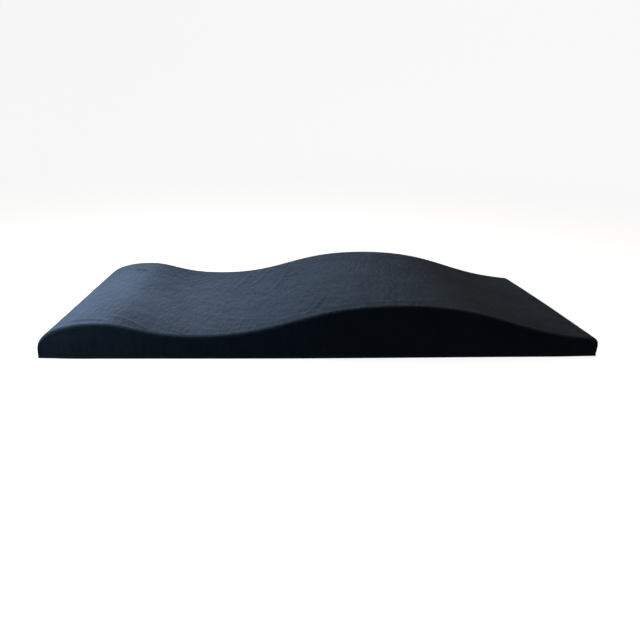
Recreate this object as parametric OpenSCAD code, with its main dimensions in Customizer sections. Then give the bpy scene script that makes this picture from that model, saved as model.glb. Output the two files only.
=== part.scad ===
// Contoured foam positioning cushion: one wave-shaped foam body in a liner, inside a sewn
// velour cover that a horizontal zip on the far side closes.
// Millimetres. X runs along the cushion from the rounded nose (-X) to the low foot end (+X),
// Y runs across it, with the zip on the +Y side, and Z is up. The origin is the middle of the
// underside.

/* [Overall size] */
// Length of the cushion, nose to foot end
body_l = 1400; // [1300:10:1600]
// Width of the cushion across the cover, without the zip slider
body_w = 560; // [400:10:700]

/* [Wave] */
// Height of the upright face at the nose, where its curve begins
nose_face_h = 20; // [15:1:25]
// Distance of the low crest from the nose
low_crest_at = 150; // [140:5:170]
// Height of the low crest
low_crest_h = 92; // [80:1:110]
// Distance of the hollow from the nose
hollow_at = 370; // [350:5:400]
// Height of the hollow
hollow_h = 62; // [55:1:75]
// Distance of the high crest from the nose
high_crest_at = 875; // [840:5:900]
// Height of the high crest
high_crest_h = 140; // [120:1:170]
// Height of the foot end
foot_h = 50; // [48:1:60]
// Fall of the lip at the foot end, per millimetre of length
foot_fall = 0.075; // [0.05:0.005:0.1]
// Radius of the top edge at the foot end
foot_r = 18; // [12:1:22]

/* [Cover and liner] */
// Thickness of the velour and of the grip fabric underneath
cover_t = 2; // [1.5:0.1:2]
// Thickness of the liner
liner_t = 0.6; // [0.4:0.1:0.8]
// Slack between cover and liner over the wave and at both ends
top_ease = 1; // [1:0.1:2]
// Slack between cover and liner at the sides, where the zip slider needs room
side_ease = 2.6; // [2.6:0.1:4]
// Thickness of a seam's thread
thread_t = 0.6; // [0.4:0.1:0.6]

/* [Zip] */
// Height of the middle of the zip above the floor
zip_h = 26; // [24:1:30]
// Length of the slot that the zip shows in
slot_l = 1150; // [1100:10:1200]
// Height of the slot between the folded fabric edges
slot_h = 13; // [12.5:0.5:14]
// Height of one tape
tape_h = 14; // [12:1:14]
// Thickness of the tape
tape_t = 0.6; // [0.5:0.1:0.6]
// Height of the closed coil
coil_h = 6; // [5.5:0.1:6]
// Thickness of the coil in front of the tape
coil_t = 1.8; // [1.6:0.1:1.8]
// Distance of the topstitching from the folded edge
stitch_in = 2.5; // [2:0.5:4]

/* [Slider and pull] */
// Length of the slider along the zip
slider_l = 12; // [11:0.5:13]
// Height of the slider across the zip
slider_h = 9.6; // [9.2:0.1:10]
// Travel of the slider from closed to open
travel = 1100; // [1000:10:1100]
// Length of the pull from its pin to its tip
pull_l = 34; // [28:1:40]
// Width of the pull
pull_w = 8; // [7:0.5:9]

/* [Care label] */
// Width of the label along the seam
label_w = 30; // [20:1:40]
// Drop of the label below the seam
label_h = 20; // [15:1:22]

/* [Hidden] */

half_l = body_l / 2;
half_w = body_w / 2;
ply_gap = 0.1;          // between two plies that lie on each other
fine = 0.3;             // clearance of whatever slides or turns
past = 5;               // how far a cutter runs past what it cuts

// Layers, counted inwards from the outside of the cover.
side_in = cover_t + ply_gap;
liner_in = cover_t + top_ease;
liner_side_in = cover_t + side_ease;
liner_z = cover_t + ply_gap;
foam_in = liner_in + liner_t + ply_gap;
foam_side_in = liner_side_in + liner_t + ply_gap;
foam_z = liner_z + liner_t + ply_gap;

// The wave: smooth spans between its crests and its hollow, each end with a level handle.
span_steps = 20;
nose_rise = 45;         // handle that stands up from the nose face
low_crest_reach = [90, 70];
hollow_reach = [125, 225];
high_crest_reach = [255, 240];
foot_reach = 235;
foot_a = atan(foot_fall);
foot_steps = 6;
foot_x = body_l - foot_r * (1 - sin(foot_a));
foot_z = foot_h + foot_fall * (body_l - foot_x);
foot_c = [foot_x - foot_r * sin(foot_a), foot_z - foot_r * cos(foot_a)];
spans = [
    [[0, nose_face_h], [0, nose_face_h + nose_rise],
        [low_crest_at - low_crest_reach[0], low_crest_h], [low_crest_at, low_crest_h]],
    [[low_crest_at, low_crest_h], [low_crest_at + low_crest_reach[1], low_crest_h],
        [hollow_at - hollow_reach[0], hollow_h], [hollow_at, hollow_h]],
    [[hollow_at, hollow_h], [hollow_at + hollow_reach[1], hollow_h],
        [high_crest_at - high_crest_reach[0], high_crest_h], [high_crest_at, high_crest_h]],
    [[high_crest_at, high_crest_h], [high_crest_at + high_crest_reach[1], high_crest_h],
        [body_l - foot_reach, foot_h + foot_fall * foot_reach], [foot_x, foot_z]]
];

// The zip, layer by layer across the far side.
tape_y = half_w - cover_t - ply_gap;            // front of the tape
coil_y = tape_y + coil_t;                       // front of the coil
coil_gap = 2 * fine + 0.6;                      // between the two rows, where the neck runs
chain_l = travel + slider_l + 1.5;
tape_l = slot_l + 20;
slider_x = travel / 2;                          // the slider's middle when the zip is closed
stop_l = 2.5;
stop_x = (travel + slider_l) / 2 + 2;           // inner face of each stop
stop_t = 1.6;                                   // of a stop in front of the tape
row_t = 0.4;                                    // how far topstitching stands proud

// The slider: two plates round the coil, a neck between them and a bridge for the pull.
plate_y = coil_y + fine;                        // inner face of the front plate
plate_t = 1.1;
wall_t = 1.2;                                   // of the lips beside the coil
back_y = tape_y - tape_t - fine;                // inner face of the back plate
back_t = 1;
neck_t = coil_gap - 2 * fine;
neck_l = 3;
pin_r = 0.65;
bridge_y = plate_y + plate_t;
bridge_gap = 2 * (pin_r + fine);
bridge_t = 1.1;
bridge_l = 10.4;
bridge_w = 2.2;
post_l = 1.2;
pin_y = bridge_y + fine + pin_r;
arm_in = bridge_w / 2 + 1.2;                    // inner face of each arm of the pull
arm_out = arm_in + 1.1;
eye_l = 7.5;                                    // from the pin to the pull's plate

function along(p, t) = pow(1 - t, 3) * p[0] + 3 * pow(1 - t, 2) * t * p[1]
    + 3 * (1 - t) * t * t * p[2] + pow(t, 3) * p[3];
function heading(p, t) = pow(1 - t, 2) * (p[1] - p[0]) + 2 * (1 - t) * t * (p[2] - p[1])
    + t * t * (p[3] - p[2]);
function inward(p, t, d) = let(h = heading(p, t) / norm(heading(p, t)))
    along(p, t) - d * [-h[1], h[0]];

// Side view of the cushion, taken in by d all over the wave and the ends, and cut level at z.
function outline(d, z) = concat(
    [[d, z]],
    [for (p = spans, i = [0:span_steps - 1]) inward(p, i / span_steps, d)],
    [for (i = [0:foot_steps]) let(a = (90 - foot_a) * (1 - i / foot_steps))
        foot_c + (foot_r - d) * [cos(a), sin(a)]],
    [[body_l - d, z]]
);
function turned(list) = [for (i = [len(list) - 1:-1:0]) list[i]];

// A side view in X and Z made solid from y0 to y1.
module across(y0, y1) {
    translate([-half_l, y1, 0]) rotate([90, 0, 0]) linear_extrude(y1 - y0) children();
}

module body(d, z, y0, y1) {
    across(y0, y1) polygon(outline(d, z));
}

// A box from its low corner to its high corner.
module block(low, high) {
    translate(low) cube(high - low);
}

// A bar along X, centred, between two heights and two depths.
module bar(length, y, z) {
    block([-length / 2, y[0], z[0]], [length / 2, y[1], z[1]]);
}

module foam_core() {
    color("lightgoldenrodyellow")
        body(foam_in, foam_z, -half_w + foam_side_in, half_w - foam_side_in);
}

module core_liner() {
    color("whitesmoke") difference() {
        body(liner_in, liner_z, -half_w + liner_side_in, half_w - liner_side_in);
        body(liner_in + liner_t, liner_z + liner_t,
            -half_w + liner_side_in + liner_t, half_w - liner_side_in - liner_t);
    }
}

// One strip from the underside's front edge over the nose, the wave and the foot end.
module cover_top_panel() {
    color("slategray") across(-half_w, half_w)
        polygon(concat(outline(0, 0), turned(outline(cover_t, 0))));
}

module cover_near_side() {
    color("darkslategray") body(side_in, side_in, -half_w, -half_w + cover_t);
}

// The zip's slot, as a cutter with round ends.
module slot() {
    straight = slot_l / 2 - slot_h / 2;
    y = [half_w - cover_t - past, half_w + past];
    bar(2 * straight, y, [zip_h - slot_h / 2, zip_h + slot_h / 2]);
    for (x = [-straight, straight])
        translate([x, y[1], zip_h]) rotate([90, 0, 0])
            cylinder(d = slot_h, h = y[1] - y[0], $fn = 48);
}

// The part of the far side between two heights.
module far_side(low, high) {
    difference() {
        intersection() {
            body(side_in, side_in, half_w - cover_t, half_w);
            bar(body_l + past, [half_w - cover_t - past, half_w + past], [low, high]);
        }
        slot();
    }
}

module cover_far_upper() {
    color("darkslategray") far_side(zip_h + ply_gap / 2, high_crest_h + past);
}

module cover_far_lower() {
    color("darkslategray") far_side(-past, zip_h - ply_gap / 2);
}

module cover_base_panel() {
    color("dimgray") bar(body_l - 2 * side_in, [-half_w, half_w], [0, cover_t]);
}

// The thread of the seam all round one side panel, inside the corner.
module side_thread(y0, y1) {
    d = side_in + ply_gap;
    color("black") difference() {
        body(d, d, y0, y1);
        body(d + thread_t, d + thread_t, y0 - past, y1 + past);
    }
}

module near_seam_thread() {
    mirror([0, 1, 0]) far_seam_thread();
}

module far_seam_thread() {
    y1 = half_w - side_in - 3 * ply_gap;
    side_thread(y1 - thread_t, y1);
}

// The thread of the two seams across the underside, at the nose and at the foot end.
module end_seam_threads() {
    d = side_in + ply_gap;
    reach = half_w - side_in - 4 * ply_gap - 2 * thread_t;
    color("black") for (x = [-half_l + d, half_l - d - thread_t])
        block([x, -reach, d], [x + thread_t, reach, d + thread_t]);
}

module tape(side) {
    near = coil_gap / 2;
    color("black") translate([0, 0, zip_h]) mirror([0, 0, side < 0 ? 1 : 0])
        bar(tape_l, [tape_y - tape_t, tape_y], [near, near + tape_h]);
}

module zip_tape_upper() { tape(1); }
module zip_tape_lower() { tape(-1); }

module coil(side) {
    color("dimgray") translate([0, 0, zip_h]) mirror([0, 0, side < 0 ? 1 : 0])
        bar(chain_l, [tape_y, coil_y], [coil_gap / 2, coil_h / 2]);
}

module zip_coil_upper() { coil(1); }
module zip_coil_lower() { coil(-1); }

module topstitch(side) {
    z = zip_h + side * (slot_h / 2 + stitch_in);
    color("black") bar(slot_l, [half_w, half_w + row_t], [z - thread_t / 2, z + thread_t / 2]);
}

module zip_topstitch_upper() { topstitch(1); }
module zip_topstitch_lower() { topstitch(-1); }

// A close row of stitches across the zip at each end of its slot.
module zip_bar_tacks() {
    tack_w = 1.6;
    tack_h = slot_h / 2 + stitch_in - thread_t / 2 - ply_gap;
    color("black") for (x = [-slot_l / 2 - tack_w, slot_l / 2])
        block([x, half_w, zip_h - tack_h], [x + tack_w, half_w + row_t, zip_h + tack_h]);
}

module zip_top_stops() {
    color("silver") for (side = [0, 1])
        translate([stop_x, 0, zip_h]) mirror([0, 0, side])
            block([0, tape_y, coil_gap / 2], [stop_l, tape_y + stop_t, coil_h / 2]);
}

module zip_bottom_stop() {
    color("silver") block([-stop_x - stop_l, tape_y, zip_h - coil_h / 2],
        [-stop_x, tape_y + stop_t, zip_h + coil_h / 2]);
}

// Plan of a slider plate: broad shoulders where the chain enters and a narrower tail.
module shield() {
    a = slider_l / 2;
    b = slider_h / 2;
    polygon([[-a, -b + 1.2], [-a + 1, -b + 0.4], [a - 3.4, -b], [a - 1.2, -b + 0.6],
        [a, -b + 2], [a, b - 2], [a - 1.2, b - 0.6], [a - 3.4, b], [-a + 1, b - 0.4],
        [-a, b - 1.2]]);
}

module plate(y0, y1) {
    translate([0, y1, 0]) rotate([90, 0, 0]) linear_extrude(y1 - y0) shield();
}

module zip_slider() {
    color("darkgray") translate([slider_x, 0, zip_h]) {
        difference() {
            plate(tape_y + fine, plate_y + plate_t);
            bar(slider_l + past, [tape_y, plate_y],
                [-slider_h / 2 + wall_t, slider_h / 2 - wall_t]);
        }
        plate(back_y - back_t, back_y);
        block([slider_l / 2 - 1 - neck_l, back_y - back_t / 2, -neck_t / 2],
            [slider_l / 2 - 1, plate_y + plate_t / 2, neck_t / 2]);
        difference() {
            bar(bridge_l, [bridge_y - plate_t / 2, bridge_y + bridge_gap + bridge_t],
                [-bridge_w / 2, bridge_w / 2]);
            bar(bridge_l - 2 * post_l, [bridge_y, bridge_y + bridge_gap],
                [-bridge_w, bridge_w]);
        }
    }
}

// A flat tab with a square eye: its round pin passes under the slider's bridge.
module zip_pull() {
    y = [pin_y - pin_r, pin_y + pin_r];
    tip = pull_l - pull_w / 2;
    color("gray") translate([slider_x, 0, zip_h]) {
        translate([0, pin_y, -arm_out]) cylinder(r = pin_r, h = 2 * arm_out, $fn = 32);
        for (side = [0, 1])
            mirror([0, 0, side]) block([-eye_l, y[0], arm_in], [0, y[1], arm_out]);
        block([-tip, y[0], -pull_w / 2], [-eye_l, y[1], pull_w / 2]);
        translate([-tip, y[1], 0]) rotate([90, 0, 0])
            cylinder(d = pull_w, h = y[1] - y[0], $fn = 48);
    }
}

// A blank label that hangs from the closed seam beyond the zip's foot-end tack.
module care_label() {
    label_x = slot_l / 2 + 40;
    label_t = 0.6;
    color("white") block([label_x, half_w, zip_h - label_h],
        [label_x + label_w, half_w + label_t, zip_h]);
}

foam_core();
core_liner();
cover_top_panel();
cover_near_side();
cover_far_upper();
cover_far_lower();
cover_base_panel();
near_seam_thread();
far_seam_thread();
end_seam_threads();
zip_tape_upper();
zip_tape_lower();
zip_coil_upper();
zip_coil_lower();
zip_topstitch_upper();
zip_topstitch_lower();
zip_bar_tacks();
zip_top_stops();
zip_bottom_stop();
zip_slider();
zip_pull();
care_label();
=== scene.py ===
"""Looks of a contoured foam positioning cushion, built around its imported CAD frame.

Everything is in metres, in the CAD's own frame: X along the cushion from the rounded nose to
the low foot end, Y across it with the zip on the +Y side, Z up from the underside.
"""

from __future__ import annotations

import logging
import math
import sys
from dataclasses import dataclass, field
from enum import Enum
from typing import Callable, Protocol, Sequence

import bpy
import numpy as np
from mathutils import Matrix, Vector


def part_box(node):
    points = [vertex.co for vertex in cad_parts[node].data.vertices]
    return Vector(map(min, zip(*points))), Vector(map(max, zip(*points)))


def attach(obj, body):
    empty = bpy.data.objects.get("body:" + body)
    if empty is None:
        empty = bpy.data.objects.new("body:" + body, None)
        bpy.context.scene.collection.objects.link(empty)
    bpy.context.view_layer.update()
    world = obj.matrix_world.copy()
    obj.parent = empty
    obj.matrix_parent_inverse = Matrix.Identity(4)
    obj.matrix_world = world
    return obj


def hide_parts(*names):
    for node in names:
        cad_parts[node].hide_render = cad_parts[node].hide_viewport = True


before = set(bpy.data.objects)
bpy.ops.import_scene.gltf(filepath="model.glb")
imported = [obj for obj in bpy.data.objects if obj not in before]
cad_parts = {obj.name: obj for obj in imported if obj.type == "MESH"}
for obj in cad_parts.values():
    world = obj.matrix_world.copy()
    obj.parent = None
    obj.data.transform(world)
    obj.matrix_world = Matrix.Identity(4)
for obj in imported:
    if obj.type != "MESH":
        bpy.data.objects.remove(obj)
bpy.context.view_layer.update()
LOG = logging.getLogger("cushion")
Array = np.ndarray
Colour = tuple[float, float, float]
Place = tuple[float, float, float]


class Side(Enum):
    """The two long sides, as the sign of Y."""

    NEAR = -1
    FAR = 1


class Row(Enum):
    """The two halves of the zip, as the sign of their place above or below its middle."""

    UPPER = 1
    LOWER = -1


class Slot(Enum):
    """The record's material slots."""

    FOAM = "foam"
    LINER = "liner"
    VELOUR = "velour"
    GRIP = "grip_fabric"
    THREAD = "thread"
    TAPE = "zip_tape"
    COIL = "zip_coil"
    STOP = "zip_stop"
    SLIDER = "zip_slider"
    LABEL = "label"


# ---------------------------------------------------------------------------------------
# Shape of the cushion
# ---------------------------------------------------------------------------------------


@dataclass(frozen=True)
class Wave:
    """The side view of the cushion: smooth spans between its crests and its hollow."""

    length: float
    nose_face_h: float = 0.020
    nose_rise: float = 0.045
    low_crest: tuple[float, float] = (0.150, 0.092)
    low_crest_reach: tuple[float, float] = (0.090, 0.070)
    hollow: tuple[float, float] = (0.370, 0.062)
    hollow_reach: tuple[float, float] = (0.125, 0.225)
    high_crest: tuple[float, float] = (0.875, 0.140)
    high_crest_reach: tuple[float, float] = (0.255, 0.240)
    foot_h: float = 0.050
    foot_fall: float = 0.075
    foot_reach: float = 0.235
    foot_r: float = 0.018

    def foot_arc(self) -> tuple[Array, float]:
        """Centre of the rounded top edge at the foot end, and the angle of the lip there.

        Returns:
            The centre in X from the nose and Z, and the angle in radians.
        """
        a = math.atan(self.foot_fall)
        x = self.length - self.foot_r * (1 - math.sin(a))
        z = self.foot_h + self.foot_fall * (self.length - x)
        return np.array([x - self.foot_r * math.sin(a), z - self.foot_r * math.cos(a)]), a

    def points(self, steps: int = 80) -> Array:
        """The outline from the underside at the nose, over the top, to the underside at the foot.

        Args:
            steps: points in each span.
        Returns:
            Points in X and Z, counted from the nose, in metres.
        """
        centre, lip = self.foot_arc()
        foot = centre + self.foot_r * np.array([math.sin(lip), math.cos(lip)])
        knots = [(0.0, self.nose_face_h), self.low_crest, self.hollow, self.high_crest, foot]
        out = [
            (0.0, self.nose_face_h + self.nose_rise),
            (self.low_crest[0] + self.low_crest_reach[1], self.low_crest[1]),
            (self.hollow[0] + self.hollow_reach[1], self.hollow[1]),
            (self.high_crest[0] + self.high_crest_reach[1], self.high_crest[1]),
        ]
        into = [
            (self.low_crest[0] - self.low_crest_reach[0], self.low_crest[1]),
            (self.hollow[0] - self.hollow_reach[0], self.hollow[1]),
            (self.high_crest[0] - self.high_crest_reach[0], self.high_crest[1]),
            (self.length - self.foot_reach, self.foot_h + self.foot_fall * self.foot_reach),
        ]
        t = np.linspace(0, 1, steps, endpoint=False)[:, None]
        runs = [np.array([[0.0, 0.0]])]
        for a, b, c, d in zip(knots, out, into, knots[1:]):
            a, b, c, d = (np.array(p, float) for p in (a, b, c, d))
            runs.append((1 - t) ** 3 * a + 3 * (1 - t) ** 2 * t * b + 3 * (1 - t) * t**2 * c + t**3 * d)
        turn = np.linspace(math.pi / 2 - lip, 0, 12)
        runs.append(centre + self.foot_r * np.stack([np.cos(turn), np.sin(turn)], 1))
        runs.append(np.array([[self.length, 0.0]]))
        return np.concatenate(runs)


class Path:
    """A line in a plane that is walked by its length."""

    def __init__(self, points: Array) -> None:
        """Measures the line.

        Args:
            points: its corners, in two coordinates.
        """
        steps = np.linalg.norm(np.diff(points, axis=0), axis=1)
        self.points = points[np.concatenate([[True], steps > 1e-7])]
        steps = np.linalg.norm(np.diff(self.points, axis=0), axis=1)
        self.s = np.concatenate([[0.0], np.cumsum(steps)])
        tangent = np.gradient(self.points, self.s, axis=0)
        tangent /= np.linalg.norm(tangent, axis=1)[:, None]
        self.outward = np.stack([-tangent[:, 1], tangent[:, 0]], 1)

    @property
    def total(self) -> float:
        """Length of the line."""
        return float(self.s[-1])

    def at(self, s: Array) -> tuple[Array, Array]:
        """Points and outward directions at distances along the line.

        Args:
            s: distances from the start of the line.
        Returns:
            The points, and the unit directions that point out of the cushion.
        """
        walked = [np.interp(s, self.s, values) for values in (*self.points.T, *self.outward.T)]
        out = np.stack(walked[2:], -1)
        return np.stack(walked[:2], -1), out / np.linalg.norm(out, axis=-1, keepdims=True)

    def distance(self, points: Array) -> Array:
        """Distance of each point to the line.

        Args:
            points: one row each.
        Returns:
            The distances, in the same order.
        """
        a, b = self.points[:-1], self.points[1:]
        ab = b - a
        best = np.full(len(points), np.inf)
        for start, run in zip(a, ab):
            t = np.clip((points - start) @ run / (run @ run), 0, 1)
            gap = points - start - t[:, None] * run
            best = np.minimum(best, np.einsum("ij,ij->i", gap, gap))
        return np.sqrt(best)


def smooth(low: float, high: float, x: Array) -> Array:
    """A soft step from 0 at low to 1 at high."""
    t = np.clip((x - low) / (high - low), 0, 1)
    return t * t * (3 - 2 * t)


def bump(centre: float, width: float, x: Array) -> Array:
    """A soft hill of height 1 at centre, with most of it inside centre plus or minus width."""
    return np.exp(-(((x - centre) / width) ** 2))


@dataclass(frozen=True)
class Body:
    """Where the cushion's surfaces lie: its wave, its sides in plan and its base seam."""

    half_l: float
    half_w: float
    wave: Wave
    seam_z: float = 0.006
    foot_crown: float = 0.006

    def outline(self, inset: float = 0.0) -> Path:
        """The outline centred on X, taken in by a distance.

        Args:
            inset: how far inside the face.
        Returns:
            The line, from the nose to the foot end.
        """
        path = Path(self.wave.points())
        points = path.points - inset * path.outward
        points = points - np.array([self.half_l, 0.0])
        return Path(points)

    def half_width(self, x: Array, side: Side) -> Array:
        """Half width in plan: the sides are straight, and draw in at the corners.

        Args:
            x: places along the cushion.
            side: which long side.
        Returns:
            The distance of that side from the middle.
        """
        if side is Side.FAR:
            drawn = 0.004 * (1 - smooth(0.0, 0.085, self.half_l - np.abs(x)))
            return self.half_w - drawn
        nose = 0.004 * (1 - smooth(0.0, 0.10, x + self.half_l))
        foot = 0.003 * (1 - smooth(0.0, 0.12, self.half_l - x))
        belly = 0.0045 * bump(-0.05, 0.42, x)
        return self.half_w - nose - foot + belly

    def placed(self, points: Array) -> Array:
        """Gives a straight-sided shape the plan of the real one, with its crowned foot end.

        Args:
            points: of the straight-sided shape, three coordinates last.
        Returns:
            The points of the real shape.
        """
        out = points.copy()
        x, y = points[..., 0], points[..., 1]
        near = self.half_width(x, Side.NEAR) / self.half_w
        far = self.half_width(x, Side.FAR) / self.half_w
        share = smooth(-self.half_w, self.half_w, y)
        out[..., 1] = y * (near * (1 - share) + far * share)
        crown = 0.3 + 0.7 * np.clip(1 - (y / self.half_w) ** 2, 0, 1)
        out[..., 0] += self.foot_crown * crown * smooth(self.half_l - 0.14, self.half_l, x)
        return out


@dataclass(frozen=True)
class Lip:
    """The rolled edge of a panel where it turns into a seam or over a tape."""

    r: float
    turn: float

    @property
    def roll(self) -> float:
        """Cloth taken up by the rolled edge."""
        return self.r * self.turn

    @property
    def reach(self) -> float:
        """Distance from the seam's ideal line at which the roll starts."""
        return self.r if self.turn > 3 else self.r * math.tan(self.turn / 2)

    @property
    def edge(self) -> float:
        """Distance from the ideal line of the roll's outermost line."""
        return self.reach - self.r

    def fold(self, a: Array) -> tuple[Array, Array]:
        """Where cloth lies, by its distance from the stitching.

        Args:
            a: distances from the stitching, below 0 in the hidden allowance.
        Returns:
            Distance from the ideal line, and depth below the face.
        """
        turned = np.clip((self.roll - a) / self.r, 0, self.turn)
        hidden = np.clip(-a, 0, None)
        across = np.where(a > self.roll, a - self.roll + self.reach, self.reach - self.r * np.sin(turned))
        depth = self.r * (1 - np.cos(turned)) + hidden * math.sin(self.turn)
        return across - hidden * math.cos(self.turn), depth

    def beyond(self, hidden: float) -> tuple[float, float]:
        """Shift inwards and depth past the outermost line, at the stitching and in its allowance."""
        inward = self.r * (1 - math.sin(self.turn)) - math.cos(self.turn) * hidden
        return inward, math.sin(self.turn) * hidden - self.r * math.cos(self.turn)

    def depth(self, gap: Array) -> Array:
        """Depth of the roll, seen square on, by distance from the ideal line."""
        short = np.clip(self.reach - gap, 0, self.r)
        return self.r - np.sqrt(np.clip(self.r**2 - short**2, 0, None))


CORNER = Lip(0.0013, 3 * math.pi / 4)
LEVEL = Lip(0.0009, math.pi / 2)
TURNED = Lip(0.0009, math.pi)


# ---------------------------------------------------------------------------------------
# Meshes
# ---------------------------------------------------------------------------------------


def deselect() -> None:
    """Leaves nothing selected, in object mode."""
    if bpy.context.object and bpy.context.object.mode != "OBJECT":
        bpy.ops.object.mode_set(mode="OBJECT")
    bpy.ops.object.select_all(action="DESELECT")


def choose(*objs: bpy.types.Object) -> None:
    """Selects these objects only, with the first one active.

    Args:
        objs: what to select.
    """
    deselect()
    for o in objs:
        o.select_set(True)
    bpy.context.view_layer.objects.active = objs[0]


def apply_all(obj: bpy.types.Object) -> None:
    """Applies every modifier of an object, in order.

    Args:
        obj: the object.
    """
    choose(obj)
    for name in [m.name for m in obj.modifiers]:
        bpy.ops.object.modifier_apply(modifier=name)


def settle_origin(obj: bpy.types.Object) -> None:
    """Puts an object's place, turn and size into its mesh."""
    choose(obj)
    bpy.ops.object.transform_apply(location=True, rotation=True, scale=True)


def mesh_object(name: str, points: Array, faces: Sequence[Sequence[int]]) -> bpy.types.Object:
    """A new object from corners and faces.

    Args:
        name: of the object.
        points: corners, one row each.
        faces: corner numbers of each face.
    Returns:
        The object, linked to the scene.
    """
    data = bpy.data.meshes.new(name)
    data.from_pydata(points.reshape(-1, 3).tolist(), [], [list(f) for f in faces])
    data.update()
    obj = bpy.data.objects.new(name, data)
    bpy.context.scene.collection.objects.link(obj)
    return obj


def grid_faces(rows: int, columns: int, flip: bool = False) -> Array:
    """Corner numbers of the squares of a grid.

    Args:
        rows: points in the first direction.
        columns: points in the second.
        flip: turns the faces over.
    Returns:
        One row of four numbers for each square.
    """
    i, j = np.meshgrid(np.arange(rows - 1), np.arange(columns - 1), indexing="ij")
    a = (i * columns + j).ravel()
    order = (a, a + 1, a + columns + 1, a + columns)
    return np.stack(order[::-1] if flip else order, 1)


def grid_object(name: str, points: Array, cloth: Array, flip: bool = False) -> bpy.types.Object:
    """A sheet from a grid of points, with its flat cut kept as a UV map.

    Args:
        name: of the object.
        points: rows by columns by three.
        cloth: rows by columns by two, the place of each point on the flat cut, in metres.
        flip: turns the faces over.
    Returns:
        The sheet, with no thickness yet.
    """
    faces = grid_faces(*points.shape[:2], flip)
    obj = mesh_object(name, points, faces)
    layer = obj.data.uv_layers.new(name="cloth")
    layer.data.foreach_set("uv", cloth.reshape(-1, 2)[faces.ravel()].astype(np.float32).ravel())
    return obj


def thicken(obj: bpy.types.Object, thickness: float) -> bpy.types.Object:
    """Gives a sheet its thickness, inwards from its outer face.

    Args:
        obj: the sheet, with its outer face only.
        thickness: of the cloth.
    Returns:
        The closed sheet.
    """
    wall = obj.modifiers.new("thickness", "SOLIDIFY")
    wall.thickness = thickness
    wall.offset = -1
    wall.use_rim = True
    apply_all(obj)
    return obj


def shade(obj: bpy.types.Object, degrees: float = 50) -> bpy.types.Object:
    """Smooth shading, with edges sharper than an angle left crisp.

    Args:
        obj: the piece.
        degrees: the angle.
    Returns:
        The piece.
    """
    choose(obj)
    bpy.ops.object.shade_smooth_by_angle(angle=math.radians(degrees))
    return obj


def ascending(points: Array) -> tuple[Array, Array]:
    """The two coordinates of a line's points, without its upright stretches.

    Args:
        points: in X and Z.
    Returns:
        The X of each point that is kept, and its Z.
    """
    inner = points[1:-1]
    keep = np.concatenate([[True], np.diff(inner[:, 0]) > 1e-6])
    return inner[keep, 0], inner[keep, 1]


def fine_steps(length: float, step: float, edge: Sequence[float]) -> Array:
    """Places along a panel: close together at both ends, then even.

    Args:
        length: from seam to seam.
        step: between places in the middle.
        edge: the close places at each end, counted from the seam.
    Returns:
        The places in order.
    """
    low, high = edge[-1], length - edge[-1]
    middle = np.linspace(low, high, max(2, int(round((high - low) / step)) + 1))[1:-1]
    return np.concatenate([edge, middle, length - np.array(edge[::-1])])


def turn_out(obj: bpy.types.Object) -> None:
    """Makes every face of a closed shape point outwards.

    Args:
        obj: the shape.
    """
    choose(obj)
    bpy.ops.object.mode_set(mode="EDIT")
    bpy.ops.mesh.select_all(action="SELECT")
    bpy.ops.mesh.remove_doubles(threshold=1e-7)
    bpy.ops.mesh.normals_make_consistent(inside=False)
    bpy.ops.object.mode_set(mode="OBJECT")


def repeat(name: str, obj: bpy.types.Object, places: Sequence[Matrix]) -> bpy.types.Object:
    """One piece from copies of a small one, which is then removed.

    Args:
        name: of the new piece.
        obj: the small one, modelled at the origin.
        places: where each copy goes.
    Returns:
        The piece.
    """
    corners = np.array([[*v.co, 1.0] for v in obj.data.vertices])
    turned = np.einsum("mij,nj->mni", np.array([np.array(m) for m in places]), corners)[..., :3]
    faces = [tuple(p.vertices) for p in obj.data.polygons]
    count = len(corners)
    every = [[i + n * count for i in face] for n in range(len(places)) for face in faces]
    bpy.data.objects.remove(obj)
    return mesh_object(name, turned, every)


def pick(obj: bpy.types.Object, test: Callable[[Vector, Vector], bool]) -> None:
    """Opens a piece for editing with only the faces that pass a test selected.

    Args:
        obj: the piece.
        test: is given a face's centre and normal.
    """
    choose(obj)
    for part in (*obj.data.vertices, *obj.data.edges, *obj.data.polygons):
        part.select = False
    for face in obj.data.polygons:
        face.select = test(face.center, face.normal)
    bpy.ops.object.mode_set(mode="EDIT")
    bpy.ops.mesh.select_mode(type="FACE")


def rounded(obj: bpy.types.Object, width: float, segments: int = 2, angle: float = 35) -> bpy.types.Object:
    """Rounds the edges of a hard piece.

    Args:
        obj: the piece.
        width: of the rounding.
        segments: of each rounded edge.
        angle: above which an edge is rounded, in degrees.
    Returns:
        The piece.
    """
    bevel = obj.modifiers.new("rounded", "BEVEL")
    bevel.width, bevel.segments, bevel.limit_method = width, segments, "ANGLE"
    bevel.angle_limit = math.radians(angle)
    apply_all(obj)
    return shade(obj, 40)


def slab(name: str, low: Sequence[float], high: Sequence[float]) -> bpy.types.Object:
    """A block between two corners, ready to be shaped.

    Args:
        name: of the block.
        low: its lowest corner.
        high: its highest corner.
    Returns:
        The block.
    """
    deselect()
    middle = [(a + b) / 2 for a, b in zip(low, high)]
    bpy.ops.mesh.primitive_cube_add(size=1, location=middle)
    obj = bpy.context.object
    obj.name = name
    obj.scale = [b - a for a, b in zip(low, high)]
    settle_origin(obj)
    return obj


def cut_open(obj: bpy.types.Object, cutter: bpy.types.Object) -> bpy.types.Object:
    """Takes one shape out of another, and removes the first.

    Args:
        obj: the shape that is cut.
        cutter: the shape that is taken out.
    Returns:
        The cut shape.
    """
    cut = obj.modifiers.new("cut", "BOOLEAN")
    cut.operation, cut.object, cut.solver = "DIFFERENCE", cutter, "EXACT"
    apply_all(obj)
    bpy.data.objects.remove(cutter)
    return obj


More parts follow.
